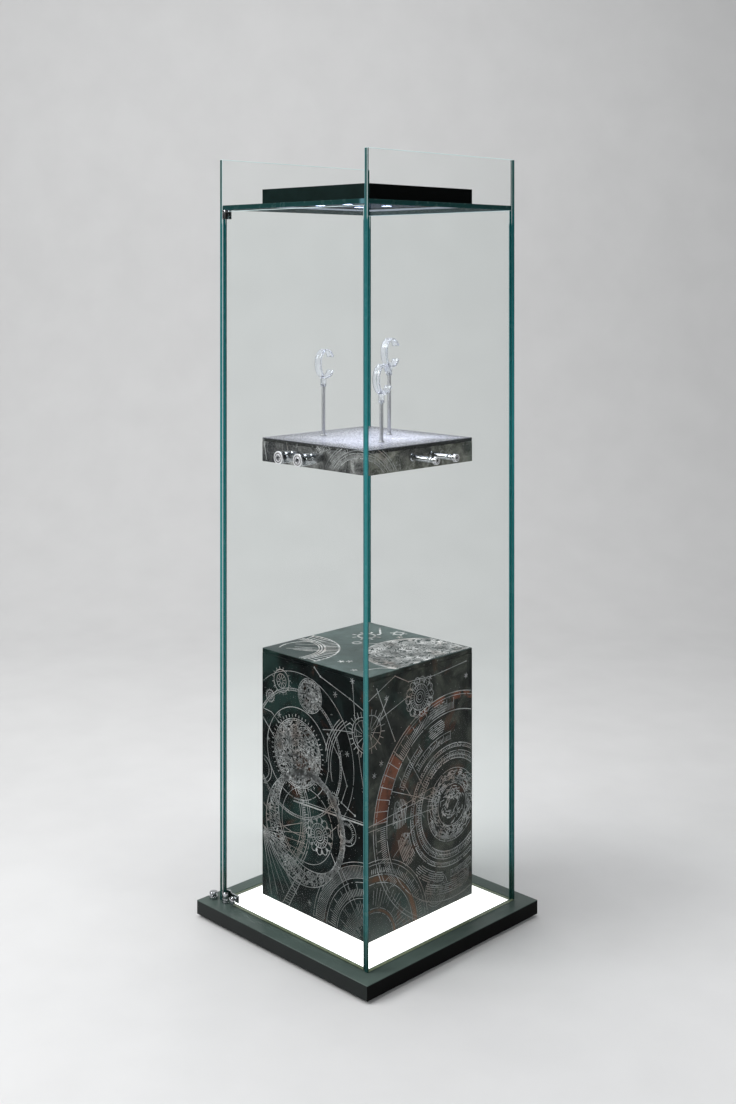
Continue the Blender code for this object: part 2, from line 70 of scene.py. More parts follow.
# ---------------------------------------------------------------- node materials
class Shader:
    """A node material, written as nested calls. Values are numbers, colours or other nodes' outputs."""

    def __init__(self, name):
        self.mat = bpy.data.materials.new(name)
        self.mat.use_nodes = True
        self.tree = self.mat.node_tree
        self.tree.nodes.clear()
        self.where = self.node("ShaderNodeTexCoord").outputs["Object"]

    def node(self, kind, inputs=None, **settings):
        made = self.tree.nodes.new(kind)
        for key, value in settings.items():
            setattr(made, key, value)
        for key, value in (inputs or {}).items():
            socket = made.inputs[key]
            if isinstance(value, bpy.types.NodeSocket):
                self.tree.links.new(value, socket)
            elif isinstance(value, (tuple, list)) and len(value) == 3 and len(socket.default_value) == 4:
                socket.default_value = (*value, 1.0)
            else:
                socket.default_value = value
        return made

    def mapping(self, scale=(1, 1, 1), location=(0, 0, 0)):
        inputs = {"Vector": self.where, "Scale": scale, "Location": location}
        return self.node("ShaderNodeMapping", inputs).outputs[0]

    def noise(self, scale, detail=4.0, rough=0.5, at=None, distort=0.0):
        inputs = {"Vector": at or self.where, "Scale": scale, "Detail": detail, "Roughness": rough}
        inputs["Distortion"] = distort
        return self.node("ShaderNodeTexNoise", inputs).outputs["Fac"]

    def cells(self, scale, feature="F1", at=None):
        inputs = {"Vector": at or self.where, "Scale": scale}
        return self.node("ShaderNodeTexVoronoi", inputs, feature=feature).outputs["Distance"]

    def ramp(self, value, *stops):
        made = self.node("ShaderNodeValToRGB", {"Fac": value})
        marks = made.color_ramp.elements
        while len(marks) < len(stops):
            marks.new(0.5)
        for mark, (place, colour) in zip(marks, stops):
            mark.position = place
            mark.color = (*colour, 1.0) if isinstance(colour, tuple) else (colour, colour, colour, 1.0)
        return made.outputs["Color"]

    def shades(self, value, dark, pale):
        """A plain blend from dark to pale over the middle of a texture's range."""
        return self.ramp(value, (0.3, dark), (0.7, pale))

    def maths(self, operation, one, two=0.0, clamp=False):
        made = self.node("ShaderNodeMath", {0: one, 1: two}, operation=operation, use_clamp=clamp)
        return made.outputs[0]

    def times(self, *values):
        total = values[0]
        for value in values[1:]:
            total = self.maths("MULTIPLY", total, value)
        return total

    def reach(self):
        """The greater distance of a place from the axis, across or along."""
        x, y, _ = self.split()
        return self.maths("MAXIMUM", self.maths("ABSOLUTE", x), self.maths("ABSOLUTE", y))

    def band(self, value, low, high, from_low=0.0, from_high=1.0):
        """value's range low..high mapped smoothly to from_low..from_high."""
        inputs = {"Value": value, "From Min": low, "From Max": high, "To Min": from_low, "To Max": from_high}
        return self.node("ShaderNodeMapRange", inputs, interpolation_type="SMOOTHSTEP").outputs[0]

    def spread(self, value, low, high):
        """The middle of a texture's range mapped to low..high."""
        return self.band(value, 0.3, 0.7, low, high)

    def mix(self, factor, one, two, blend="MIX"):
        """Socket 0 of the node is the factor, 6 and 7 are the colours, and output 2 is the mixed colour."""
        inputs = {0: factor, 6: one, 7: two}
        return self.node("ShaderNodeMix", inputs, data_type="RGBA", blend_type=blend).outputs[2]

    def split(self):
        parts = self.node("ShaderNodeSeparateXYZ", {"Vector": self.where}).outputs
        return parts[0], parts[1], parts[2]

    def bump(self, height, strength, distance=0.0003):
        inputs = {"Height": height, "Strength": strength, "Distance": distance}
        return self.node("ShaderNodeBump", inputs).outputs[0]

    def principled(self, **inputs):
        named = {key.replace("_", " "): value for key, value in inputs.items()}
        return self.node("ShaderNodeBsdfPrincipled", named).outputs[0]

    def out(self, surface):
        made = self.node("ShaderNodeOutputMaterial")
        self.tree.links.new(surface, made.inputs["Surface"])
        return self.mat

    def surface(self, colour, rough, glow=None, specular=0.5, **more):
        """The finished material. A glow shines in the surface's own colour."""
        if glow is not None:
            more.update(Emission_Color=colour, Emission_Strength=glow)
        more.update(Base_Color=colour, Roughness=rough, Specular_IOR_Level=specular)
        return self.out(self.principled(**more))


def clear_glass(name, tint, gloss=0.8):
    """Thin clear glass: what is behind shows through, with a mirror layer that grows at grazing angles."""
    s = Shader(name)
    film = s.mix(s.noise(3.0, 2.0), tint, tuple(v**0.6 for v in tint))
    through = s.node("ShaderNodeBsdfTransparent", {"Color": film}).outputs[0]
    mirror = s.node("ShaderNodeBsdfGlossy", {"Color": (0.95, 1.0, 0.98), "Roughness": 0.0}).outputs[0]
    front = s.maths("SUBTRACT", gloss, s.node("ShaderNodeNewGeometry").outputs["Backfacing"], clamp=True)
    fresnel = s.node("ShaderNodeFresnel", {"IOR": 1.5}).outputs[0]
    share = s.times(s.maths("SUBTRACT", fresnel, 0.056, clamp=True), front)
    return s.out(s.node("ShaderNodeMixShader", {0: share, 1: through, 2: mirror}).outputs[0])


def glass_edge(name, painted_brightness, glow):
    """Polished edge: deep teal body colour, painted darker at the foot as shade and painted greyer above the
    roof as duller light.
    """
    s = Shader(name)
    x, y, z = s.split()
    fine = s.noise(60.0, 3.0)
    # painted shade and light: the ramp darkens the edge at the foot and dulls it above the roof
    colour = s.ramp(
        s.maths("DIVIDE", z, 1.64),
        (0.024, (0.002, 0.007, 0.004)),
        (0.056, (0.007, 0.03, 0.018)),
        (0.07, (0.006, 0.07, 0.066)),
        (0.35, (0.011, 0.14, 0.135)),
        (0.64, (0.018, 0.185, 0.195)),
        (0.922, (0.008, 0.085, 0.088)),
        (0.94, (0.026, 0.062, 0.058)),
    )
    colour = s.mix(s.band(s.noise(1.8, 2.0), 0.35, 0.65, 0.0, 0.35), colour, (0.004, 0.055, 0.06))
    colour = s.mix(s.times(fine, 0.15), colour, (0.05, 0.24, 0.22))
    # painted highlight: a pale blue strip along the arris at the front corner
    border = s.times(
        s.band(x, OUTER - THICK, OUTER - 0.0056, 1.0, 0.0),
        s.band(x, 0.2, 0.21),
        s.band(y, 0.0004 - OUTER, 0.0008 - OUTER, 1.0, 0.0),
        s.band(z, 0.3, 0.7, 0.0, 0.9),
    )
    colour = s.mix(border, colour, (0.18, 0.42, 0.5))
    # painted shade: painted_brightness darkens the copies of the edge
    colour = s.mix(1.0, colour, (painted_brightness, painted_brightness, painted_brightness), "MULTIPLY")
    # the glow is painted light, for the edge is no lamp
    return s.surface(colour, s.spread(fine, 0.16, 0.3), glow, 0.25)


def ground_arris():
    """The narrow ground strip between a face and an edge, painted dark at the foot as shade and painted white
    above the roof as light, with a glow that is painted light.
    """
    s = Shader("ground_arris")
    z = s.split()[2]
    colour = s.shades(s.noise(900.0, 3.0), (0.03, 0.16, 0.18), (0.07, 0.25, 0.28))
    # painted shade at the foot, then painted light above the roof
    colour = s.mix(s.band(z, 0.08, 0.16), (0.01, 0.05, 0.035), colour)
    colour = s.mix(s.band(z, 1.49, 1.5), colour, (0.55, 0.66, 0.66))
    return s.surface(colour, 0.3, 0.3)


def bright_edge():
    """The level edges, with painted light: white and glowing on top, where they catch the light of the lamps
    and of the panel, and painted darker olive shade on the bottom edges.
    """
    s = Shader("bright_edge")
    grain = s.noise(300.0, 3.0)
    # painted light: painted_brightness sets how strongly the edges glow
    painted_brightness = s.ramp(s.noise(2.6, 2.0), (0.35, 0.35), (0.6, 1.0))
    low = s.shades(grain, (0.07, 0.085, 0.05), (0.13, 0.15, 0.1))
    high = s.shades(grain, (0.62, 0.7, 0.69), (0.95, 1.0, 1.0))
    return s.surface(s.mix(s.band(s.split()[2], 0.5, 0.9), low, high), 0.25, s.times(painted_brightness, 0.8))


def lacquer():
    """Dark green-black lacquer, painted paler on its upper face where light falls and painted nearly black as
    shade on its right face.
    """
    s = Shader("lacquer")
    x, _, z = s.split()
    half = side_of("plinth_shell", 1, 0)
    cloud = s.noise(9.0, 5.0, 0.6)
    side = s.shades(cloud, (0.004, 0.0064, 0.006), (0.008, 0.012, 0.0112))
    top = s.shades(cloud, (0.062, 0.088, 0.079), (0.1, 0.138, 0.124))
    right = s.band(x, half - 0.001, half - 0.0002)
    # painted shade: the right face nearly black
    colour = s.mix(right, side, (0.0008, 0.001, 0.001))
    # painted light: the upper face paler
    colour = s.mix(s.band(z, DECK - 0.0017, DECK - 0.0005), colour, top)
    colour = s.mix(s.band(s.cells(260.0), 0.0, 0.05, 0.3, 0.0), colour, (0.1, 0.11, 0.11))
    specular = s.band(right, 0.0, 1.0, 0.22, 0.05)
    ripple = s.bump(s.noise(420.0, 2.0), 0.04)
    return s.surface(colour, s.spread(cloud, 0.3, 0.42), None, specular, Normal=ripple)


def lit_opal():
    """The lit panel, with a duller greenish rim."""
    s = Shader("lit_opal")
    rim = s.band(s.reach(), 0.2125, 0.216, 1.0, 0.35)
    glow = s.times(rim, s.spread(s.noise(14.0, 3.0), 0.95, 1.0))
    shine = s.mix(glow, (0.62, 0.66, 0.52), (1.0, 1.0, 0.985))
    white = (0.8, 0.8, 0.8)
    return s.surface(white, 0.4, Emission_Color=shine, Emission_Strength=s.times(glow, 1.7))


def polar(s, one, two, at):
    """The distance and the angle of a place from a centre, seen along one axis."""
    a, b = s.maths("SUBTRACT", one, at[0]), s.maths("SUBTRACT", two, at[1])
    return s.maths("SQRT", s.maths("ADD", s.times(a, a), s.times(b, b))), s.maths("ARCTAN2", b, a)


def slate_ground(s, cloud, right, top):
    """Nearly black in front, painted greyer at the right and paler green on top as painted light, darker
    there under the dial and the disc.
    """
    x, y, z = s.split()
    streaks = s.noise(9.0, 7.0, 0.62, distort=1.0)
    veil = s.noise(5.0, 5.0, 0.6, s.mapping(location=(1.0, 6.0, 2.0)), 0.5)
    # lit and shaded copies of one slate: the front painted darkest, the right face and the top painted
    # lighter
    front = ((0.38, (0.0006, 0.001, 0.0012)), (0.54, (0.003, 0.0056, 0.0058)), (0.74, (0.02, 0.034, 0.033)))
    side = ((0.34, (0.0045, 0.0058, 0.0052)), (0.52, (0.026, 0.029, 0.025)), (0.7, (0.084, 0.088, 0.074)))
    top_painted_lighter = s.shades(cloud, (0.078, 0.116, 0.112), (0.212, 0.276, 0.268))
    for at, reach in (((0.123, 0.051), 0.127), ((-0.124, -0.135), 0.122)):
        inside = s.band(polar(s, x, y, at)[0], reach - 0.004, reach, 0.78, 0.0)
        top_painted_lighter = s.mix(inside, top_painted_lighter, (0.04, 0.06, 0.058))
    colour = s.mix(top, s.mix(right, s.ramp(streaks, *front), s.ramp(cloud, *side)), top_painted_lighter)
    misty = s.times(s.band(veil, 0.38, 0.62), s.band(right, 0.0, 1.0, 0.2, 1.0))
    colour = s.mix(s.times(s.band(z, 0.06, 0.22, 0.8, 0.0), misty), colour, (0.034, 0.052, 0.048))
    green = s.times(s.band(veil, 0.53, 0.64, 0.0, 0.62), s.band(top, 0.0, 1.0, 1.0, 0.3))
    return s.mix(green, colour, (0.02, 0.048, 0.042))


def slate_inlays(s, colour, cloud, right, rust):
    """Copper let into the large ring of the right face, rust round its hub and brown rings at its foot."""
    _, y, z = s.split()

    def within(value, low, high, soft):
        return s.times(s.band(value, low, low + soft), s.band(value, high - soft, high, 1.0, 0.0))

    worn = s.band(s.noise(26.0, 6.0, 0.65), 0.34, 0.5, 0.35, 1.0)
    thin = s.band(s.noise(30.0, 5.0, 0.6), 0.45, 0.58, 0.0, 0.9)
    copper = s.shades(cloud, (0.09, 0.026, 0.013), (0.25, 0.095, 0.058))
    brown = s.shades(cloud, (0.055, 0.03, 0.017), (0.125, 0.068, 0.04))
    far, angle = polar(s, y, z, (0.0945, 0.26))
    foot, _ = polar(s, y, z, (-0.15, 0.04))
    hub = s.times(within(far, 0.02, 0.09, 0.02), within(angle, 0.2, 1.9, 0.5))
    for masks, paint_with in (
        ((within(far, 0.199, 0.2355, 0.0012), within(angle, 2.44, 3.07, 0.02), worn), copper),
        ((within(far, 0.22, 0.2385, 0.003), within(angle, 1.2, 2.3, 0.12), thin), copper),
        ((hub, s.band(thin, 0.2, 1.0, 0.0, 0.7)), rust),
        ((within(foot, 0.124, 0.138, 0.003), worn), brown),
        ((within(foot, 0.066, 0.073, 0.002), worn), brown),
    ):
        colour = s.mix(s.times(right, *masks), colour, paint_with)
    return colour


def slate():
    """Near-black patinated sheet, rusty in patches."""
    s = Shader("slate_patina")
    x, _, z = s.split()
    cloud = s.noise(19.0, 6.0, 0.62, s.mapping(location=(3.1, 1.7, 0.4)), 0.7)
    spots = s.noise(10.0, 6.0, 0.65, s.mapping(location=(8.2, 5.5, 2.0)), 0.8)
    right = s.band(x, HALF - 0.005, HALF - 0.001)
    top = s.band(z, PILLAR_TOP - 0.002, PILLAR_TOP - 0.0003)
    colour = slate_ground(s, cloud, right, top)
    rust = s.shades(cloud, (0.045, 0.018, 0.01), (0.11, 0.048, 0.03))
    patch = s.times(s.band(spots, 0.57, 0.67, 0.0, 0.66), s.band(top, 0.0, 1.0, 1.0, 0.1))
    colour = s.mix(s.times(patch, s.band(right, 0.0, 1.0, 0.7, 1.0)), colour, rust)
    specular = s.band(s.maths("ADD", right, top, clamp=True), 0.0, 1.0, 0.05, 0.16)
    colour = slate_inlays(s, colour, cloud, right, rust)
    return s.surface(colour, s.spread(cloud, 0.36, 0.5), None, specular)


def silver_line(name, painted_dimming, warm, glow=0.0):
    """Engraved and silvered lines, browned in patches and dull near the foot, with painted shade where
    painted_dimming darkens a copy and painted light where they glow.
    """
    s = Shader(name)

    def dimmed(*colour):
        return tuple(v * painted_dimming for v in colour)

    dull, middling, bright = dimmed(0.16, 0.17, 0.17), dimmed(0.44, 0.45, 0.45), dimmed(0.92, 0.92, 0.92)
    brown = s.noise(11.0, 4.0, 0.6, s.mapping(location=(2.0, 9.0, 4.0)))
    colour = s.ramp(s.noise(30.0, 5.0, 0.65), (0.28, dull), (0.48, middling), (0.72, bright))
    colour = s.mix(s.band(brown, 0.5, 0.64, 0.0, warm), colour, dimmed(0.42, 0.24, 0.15))
    colour = s.mix(s.band(s.split()[2], 0.05, 0.22, 0.8, 0.0), colour, (0.05, 0.06, 0.055))
    return s.surface(colour, s.spread(s.noise(700.0, 3.0), 0.4, 0.6), glow, 0.3)


def stone():
    """Marbled grey-olive sides of the shelf, with pale veins, painted paler and more olive on the right face
    as light.
    """
    s = Shader("mottled_stone")
    bend = s.node("ShaderNodeTexNoise", {"Vector": s.where, "Scale": 22.0, "Detail": 5.0}).outputs["Color"]
    warp = {0: bend, 1: (0.1, 0.1, 0.1), 2: s.where}
    bent = s.node("ShaderNodeVectorMath", warp, operation="MULTIPLY_ADD").outputs[0]
    cloud = s.noise(24.0, 8.0, 0.66, distort=1.4)
    large = s.noise(9.0, 3.0, 0.5, s.mapping(location=(4.0, 2.0, 7.0)))
    grain = s.noise(320.0, 5.0, 0.6)
    front = s.ramp(
        cloud,
        (0.32, (0.01, 0.0105, 0.0105)),
        (0.46, (0.07, 0.071, 0.07)),
        (0.57, (0.18, 0.18, 0.176)),
        (0.7, (0.42, 0.42, 0.41)),
    )
    side = s.ramp(
        cloud,
        (0.3, (0.034, 0.036, 0.029)),
        (0.47, (0.13, 0.134, 0.112)),
        (0.58, (0.24, 0.242, 0.208)),
        (0.7, (0.4, 0.395, 0.35)),
    )
    # painted light: the right face takes the paler copy of the ramp
    colour = s.mix(s.band(s.split()[0], HALF - 0.005, HALF - 0.001), front, side)
    colour = s.mix(s.band(large, 0.5, 0.64, 0.0, 0.7), colour, (0.026, 0.026, 0.03))
    veins = ((48.0, 0.03, 0.3, (0.2, 0.2, 0.19)), (16.0, 0.016, 0.65, (0.44, 0.44, 0.43)))
    for scale, wide, strength, pale in veins:
        vein = s.cells(scale, "DISTANCE_TO_EDGE", bent)
        colour = s.mix(s.band(vein, 0.0, wide, strength, 0.0), colour, pale)
    return s.surface(colour, s.spread(grain, 0.22, 0.36), Coat_Weight=0.2, Normal=s.bump(grain, 0.05))


def shelf_face():
    """Polished face with a painted pool of light from the lamps above: pale in the middle, with painted shade
    towards its rims and its left.
    """
    s = Shader("shelf_face")
    x, _, z = s.split()
    cloud = s.noise(14.0, 7.0, 0.64, distort=1.0)
    grain = s.noise(300.0, 4.0)
    reach = s.maths("ADD", s.reach(), s.times(s.maths("SUBTRACT", cloud, 0.5), 0.13))
    # painted light: the pale middle stands for the lamps' light
    pale = s.shades(cloud, (0.44, 0.44, 0.54), (0.84, 0.83, 0.92))
    # painted shade towards the left and, below, towards the rims
    pale = s.mix(s.band(x, -0.13, 0.03, 0.66, 0.0), pale, (0.17, 0.17, 0.18))
    dark = s.shades(cloud, (0.075, 0.076, 0.086), (0.24, 0.24, 0.28))
    colour = s.mix(s.band(reach, 0.088, 0.156), pale, dark)
    colour = s.mix(s.band(z, SHELF_TOP - 0.0015, SHELF_TOP - 0.0002), (0.04, 0.041, 0.04), colour)
    return s.surface(colour, s.spread(grain, 0.18, 0.32), Normal=s.bump(grain, 0.04))


def metal(name, texture, dark, pale, rough, metallic=1.0):
    """A metal whose colour and roughness follow one texture, given as its scale, detail and roughness."""
    s = Shader(name)
    value = s.noise(*texture)
    return s.surface(s.shades(value, dark, pale), s.band(value, *rough), Metallic=metallic)


def brushed():
    s = Shader("brushed_steel")
    lines = s.noise(1.0, 3.0, 0.6, s.mapping(scale=(40.0, 40.0, 400.0)))
    colour = s.shades(lines, (0.44, 0.44, 0.45), (0.52, 0.52, 0.53))
    return s.surface(colour, s.spread(lines, 0.32, 0.38), Metallic=0.45)


def acrylic():
    """Clear acrylic with a faint milky share, which stands for the light it gathers."""
    s = Shader("clear_acrylic")
    clear = {"Color": (0.97, 0.98, 1.0), "IOR": 1.45, "Roughness": 0.0}
    glass = s.node("ShaderNodeBsdfGlass", clear).outputs[0]
    shine = {"Emission_Color": (0.86, 0.88, 1.0), "Emission_Strength": 0.28}
    milk = s.principled(Base_Color=(0.92, 0.93, 0.98), Roughness=0.2, **shine)
    share = s.spread(s.noise(40.0, 3.0), 0.07, 0.14)
    return s.out(s.node("ShaderNodeMixShader", {0: share, 1: glass, 2: milk}).outputs[0])


def box_black():
    """Satin black of the light box, with painted light as a green cast on the side that faces the door."""
    s = Shader("light_box_black")
    front = s.shades(s.noise(30.0, 5.0, 0.6), (0.004, 0.012, 0.0105), (0.0065, 0.018, 0.016))
    # painted light: the door side lighter and greener than the others
    colour = s.mix(s.band(s.split()[1], -0.156, -0.15), front, (0.0006, 0.001, 0.001))
    return s.surface(colour, s.spread(s.noise(500.0, 3.0), 0.4, 0.5), None, 0.06)


def plain(name, dark, pale, scale, rough, metallic=0.0, bump=0.1):
    """A mottled finish with a little grain, for the simpler pieces."""
    s = Shader(name)
    grain = s.noise(scale * 18, 3.0)
    colour = s.shades(s.noise(scale, 5.0, 0.6), dark, pale)
    return s.surface(colour, s.spread(grain, *rough), Metallic=metallic, Normal=s.bump(grain, bump, 0.0004))


def glowing(name, colour, power):
    s = Shader(name)
    return s.surface(colour, 0.3, s.spread(s.noise(90.0, 2.0), power * 0.9, power))


MAT = {
    "glass": clear_glass("pane_glass", (0.982, 0.994, 0.99)),
    # painted shade: the roof glass is a darker, bluer copy of the pane glass with a weaker mirror
    "roof_glass": clear_glass("roof_glass", (0.62, 0.67, 0.76), 0.14),
    # painted light and shade: the edges glow though they are no lamp, and the strips seen through a face and
    # the roof's edges are darker copies
    "edge": glass_edge("glass_edge", 1.0, 0.3),
    "edge_seen": glass_edge("glass_edge_seen_through", 0.72, 0.22),
    "edge_roof": glass_edge("roof_edge", 0.5, 0.15),
    "edge_level": bright_edge(),
    "arris": ground_arris(),
    "lacquer": lacquer(),
    "opal": lit_opal(),
    "slate": slate(),
    # painted light and shade: darker copies on the front and the right face, and a glow on the top
    "line": silver_line("silver_line", 0.72, 0.35),
    "line_side": silver_line("silver_line_side", 0.86, 0.5),
    "line_top": silver_line("silver_line_top", 1.0, 0.15, 0.3),
    "stone": stone(),
    "shelf_face": shelf_face(),
    "chrome": metal(
        "polished_chrome", (60.0, 3.0, 0.5), (0.46, 0.47, 0.49), (0.54, 0.55, 0.57), (0.35, 0.75, 0.11, 0.15)
    ),
    # painted highlight: the faced ends of caps and lock discs are painted bright, for the bright reflection
    # they show
    "face_painted_bright": metal(
        "face_painted_bright", (500.0, 3.0, 0.6), (0.7, 0.71, 0.73), (0.92, 0.93, 0.95), (0.3, 0.7, 0.28, 0.36), 0.35
    ),
    "steel": brushed(),
    "acrylic": acrylic(),
    "box_black": box_black(),
    "black": plain("satin_black_and_painted_dark", (0.0008, 0.0016, 0.0014), (0.003, 0.0048, 0.0044), 30.0, (0.28, 0.4)),
    "plastic": plain("black_plastic", (0.01, 0.01, 0.011), (0.02, 0.02, 0.021), 60.0, (0.45, 0.6), bump=0.3),
    "rubber": plain("rubber", (0.012, 0.012, 0.012), (0.028, 0.027, 0.026), 80.0, (0.7, 0.9), bump=0.5),
    "board": plain("core_board", (0.07, 0.055, 0.04), (0.15, 0.12, 0.09), 45.0, (0.7, 0.9), bump=0.4),
    "plate": plain("zinc_plate", (0.28, 0.29, 0.3), (0.46, 0.47, 0.48), 40.0, (0.3, 0.5), metallic=1.0),
    "coated": plain("coated_board", (0.6, 0.62, 0.63), (0.78, 0.8, 0.8), 50.0, (0.4, 0.55)),
    "lamp": glowing("lamp_lens", (0.72, 0.8, 1.0), 14.0),
    "lamp_ground": plain("lamp_ground", (0.01, 0.013, 0.03), (0.022, 0.028, 0.055), 30.0, (0.3, 0.5)),
    # painted shade: dark in the centres, grooves and key slots of the turned pieces
    "bore": plain("painted_hollow_shade", (0.003, 0.003, 0.003), (0.012, 0.012, 0.012), 90.0, (0.4, 0.6)),
}


# ---------------------------------------------------------------- mesh helpers
def placed(name, data):
    """An object in the scene, made from its data or from a bmesh, which is used up."""
    if isinstance(data, bmesh.types.BMesh):
        bmesh.ops.recalc_face_normals(data, faces=data.faces)
        mesh = bpy.data.meshes.new(name)
        data.to_mesh(mesh)
        data.free()
        data = mesh
    made = bpy.data.objects.new(name, data)
    bpy.context.scene.collection.objects.link(made)
    return made


def piece(name, bm, mats, body="case", smooth=30.0, nodes=()):
    """Makes bm a shown piece that rides on a body and stands for CAD nodes."""
    made = placed(name, bm)
    for key in mats:
        made.data.materials.append(MAT[key])
    if smooth:
        made.data.shade_smooth()
        made.data.set_sharp_from_angle(angle=math.radians(smooth))
    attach(made, body)
    if nodes:
        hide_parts(*nodes)
    return made


AIM = {
    "+Z": Matrix.Identity(3),
    "-Z": Matrix.Rotation(math.pi, 3, "X"),
    "+X": Matrix.Rotation(math.pi / 2, 3, "Y"),
    "-X": Matrix.Rotation(-math.pi / 2, 3, "Y"),
    "+Y": Matrix.Rotation(-math.pi / 2, 3, "X"),
    "-Y": Matrix.Rotation(math.pi / 2, 3, "X"),
}


def lathe(bm, profile, at, aim="+Z", steps=64, kinds=None):
    """Adds a solid of revolution. profile holds (radius, height); kinds gives each band's material."""
    turn = AIM[aim]
    rings = []
    for radius, height in profile:
        count = 1 if radius < 1e-7 else steps
        ring = []
        for step in range(count):
            angle = TAU * step / steps
            point = Vector((radius * math.cos(angle), radius * math.sin(angle), height))
            ring.append(bm.verts.new(Vector(at) + turn @ point))
        rings.append(ring)
    pairs = list(zip(rings, rings[1:]))
    if len(rings[0]) > 1:
        pairs.append((rings[-1], rings[0]))
    for index, (one, two) in enumerate(pairs):
        for step in range(steps):
            after = (step + 1) % steps
            corners = [(one, step), (one, after), (two, after), (two, step)]
            kept = list(dict.fromkeys(ring[place % len(ring)] for ring, place in corners))
            if len(kept) > 2:
                made = bm.faces.new(kept)
                made.material_index = kinds[index] if kinds else 0


def soften(profile, radius, closed=False):
    """Rounds the corners of a lathe profile, apart from those on the axis."""
    out = []
    count = len(profile)
    for i, point in enumerate(profile):
        if not closed and i in (0, count - 1) or point[0] < 1e-7:
            out.append(point)
            continue
        here = Vector(point)
        before, after = Vector(profile[i - 1]), Vector(profile[(i + 1) % count])
        one, two = before - here, after - here
        cut = min(radius, one.length * 0.45, two.length * 0.45)
        if cut < 1e-6 or abs(one.normalized().cross(two.normalized())) < 0.05:
            out.append(point)
            continue
        start, end = here + one.normalized() * cut, here + two.normalized() * cut
        middle = (start + end) / 4 + here / 2
        out += [tuple(start), tuple(middle), tuple(end)]
    return out


def slab(bm, low, high, kind=0, bevel=0.0):
    """Adds a box, with its edges rounded if asked."""
    low, high = Vector(low), Vector(high)
    verts = bmesh.ops.create_cube(bm, size=1.0)["verts"]
    bmesh.ops.scale(bm, vec=high - low, verts=verts)
    bmesh.ops.translate(bm, vec=(low + high) / 2, verts=verts)
    for face in {f for v in verts for f in v.link_faces}:
        face.material_index = kind
    if bevel:
        edges = list({e for v in verts for e in v.link_edges})
        bmesh.ops.bevel(bm, geom=edges, offset=bevel, segments=1, affect="EDGES", profile=0.5)


def combine(obj, operation, *tools):
    """Joins meshes to a piece or takes them out of it, for good."""
    scratch = []
    for index, bm in enumerate(tools):
        scratch.append(placed(f"tool_{index}", bm))
        step = obj.modifiers.new(f"tool_{index}", "BOOLEAN")
        step.operation = operation
        step.solver = "EXACT"
        step.object = scratch[-1]
    bpy.context.view_layer.update()
    graph = bpy.context.evaluated_depsgraph_get()
    done = bpy.data.meshes.new_from_object(obj.evaluated_get(graph), depsgraph=graph)
    obj.modifiers.clear()
    old = obj.data
    obj.data = done
    bpy.data.meshes.remove(old)
    for tool in scratch:
        bpy.data.objects.remove(tool)


def tube(at, aim, radius, length):
    bm = bmesh.new()
    lathe(bm, [(0, 0), (radius, 0), (radius, length), (0, length)], at, aim, 48)
    return bm


def block(low, high, kind=0):
    bm = bmesh.new()
    slab(bm, low, high, kind)
    return bm


def turned(node, profile, at, aim, body="case", mats=("chrome",), round_off=0.0004):
    """A finely turned piece in place of one CAD node. A profile that starts off the axis is a closed ring."""
    bm = bmesh.new()
    lathe(bm, soften(profile, round_off, profile[0][0] > 1e-7), at, aim, 72)
    return piece(f"{node}_turned", bm, mats, body, 32, [node])


# ---------------------------------------------------------------- glass
SEEN = 0.0037  # how wide a strip of the face beside an edge is painted with the edge's colour, as seen through the glass
ARRIS = 0.0008
SQUARE = 0.99  # a normal closer to an axis than this belongs to a flat side, not to an arris


def part_of_pane(face, thin, strips):
    """A face's material slot: 0 clear, 1 upright edge, 2 arris, 3 level edge, 4 strip painted with the edge
    seen behind it.
    """
    if abs(face.normal[thin]) > SQUARE:
        place = face.calc_center_median()[1 - thin]
        return 4 if any(low < place < high for low, high in strips) else 0
    if abs(face.normal.z) > SQUARE:
        return 3
    return 1 if max(abs(face.normal.x), abs(face.normal.y)) > SQUARE else 2


def start_pane(name):
    bm = bmesh.new()
    slab(bm, *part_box(name), 0, ARRIS)
    return bm


def pane(name, thin, body="case", seen=()):
    """An upright pane with clear faces across its thin axis and teal edges. Where seen names an end, -1 or 1,
    the strip of the face beside that end is painted with a darker copy of the edge's colour, for the edge
    seen through the glass."""
    low, high = (corner[1 - thin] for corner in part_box(name))
    bm = start_pane(name)
    normal = Vector((thin, 1 - thin, 0))
    for place in (low + SEEN, high - SEEN):
        everything = bm.verts[:] + bm.edges[:] + bm.faces[:]
        bmesh.ops.bisect_plane(bm, geom=everything, plane_co=normal * place, plane_no=normal)
    bm.normal_update()
    strips = [(low - 1, low + SEEN) if end < 0 else (high - SEEN, high + 1) for end in seen]
    for face in bm.faces:
        face.material_index = part_of_pane(face, thin, strips)
    mats = ("glass", "edge", "arris", "edge_level", "edge_seen")
    return piece(f"{name}_glass", bm, mats, body, 0, [name])


def roof():
    bm = start_pane("roof_pane")
    bm.normal_update()
    for face in bm.faces:
        face.material_index = 0 if abs(face.normal.z) > SQUARE else 1
    piece("roof_pane_glass", bm, ("roof_glass", "edge_roof"), "case", 0, ["roof_pane"])


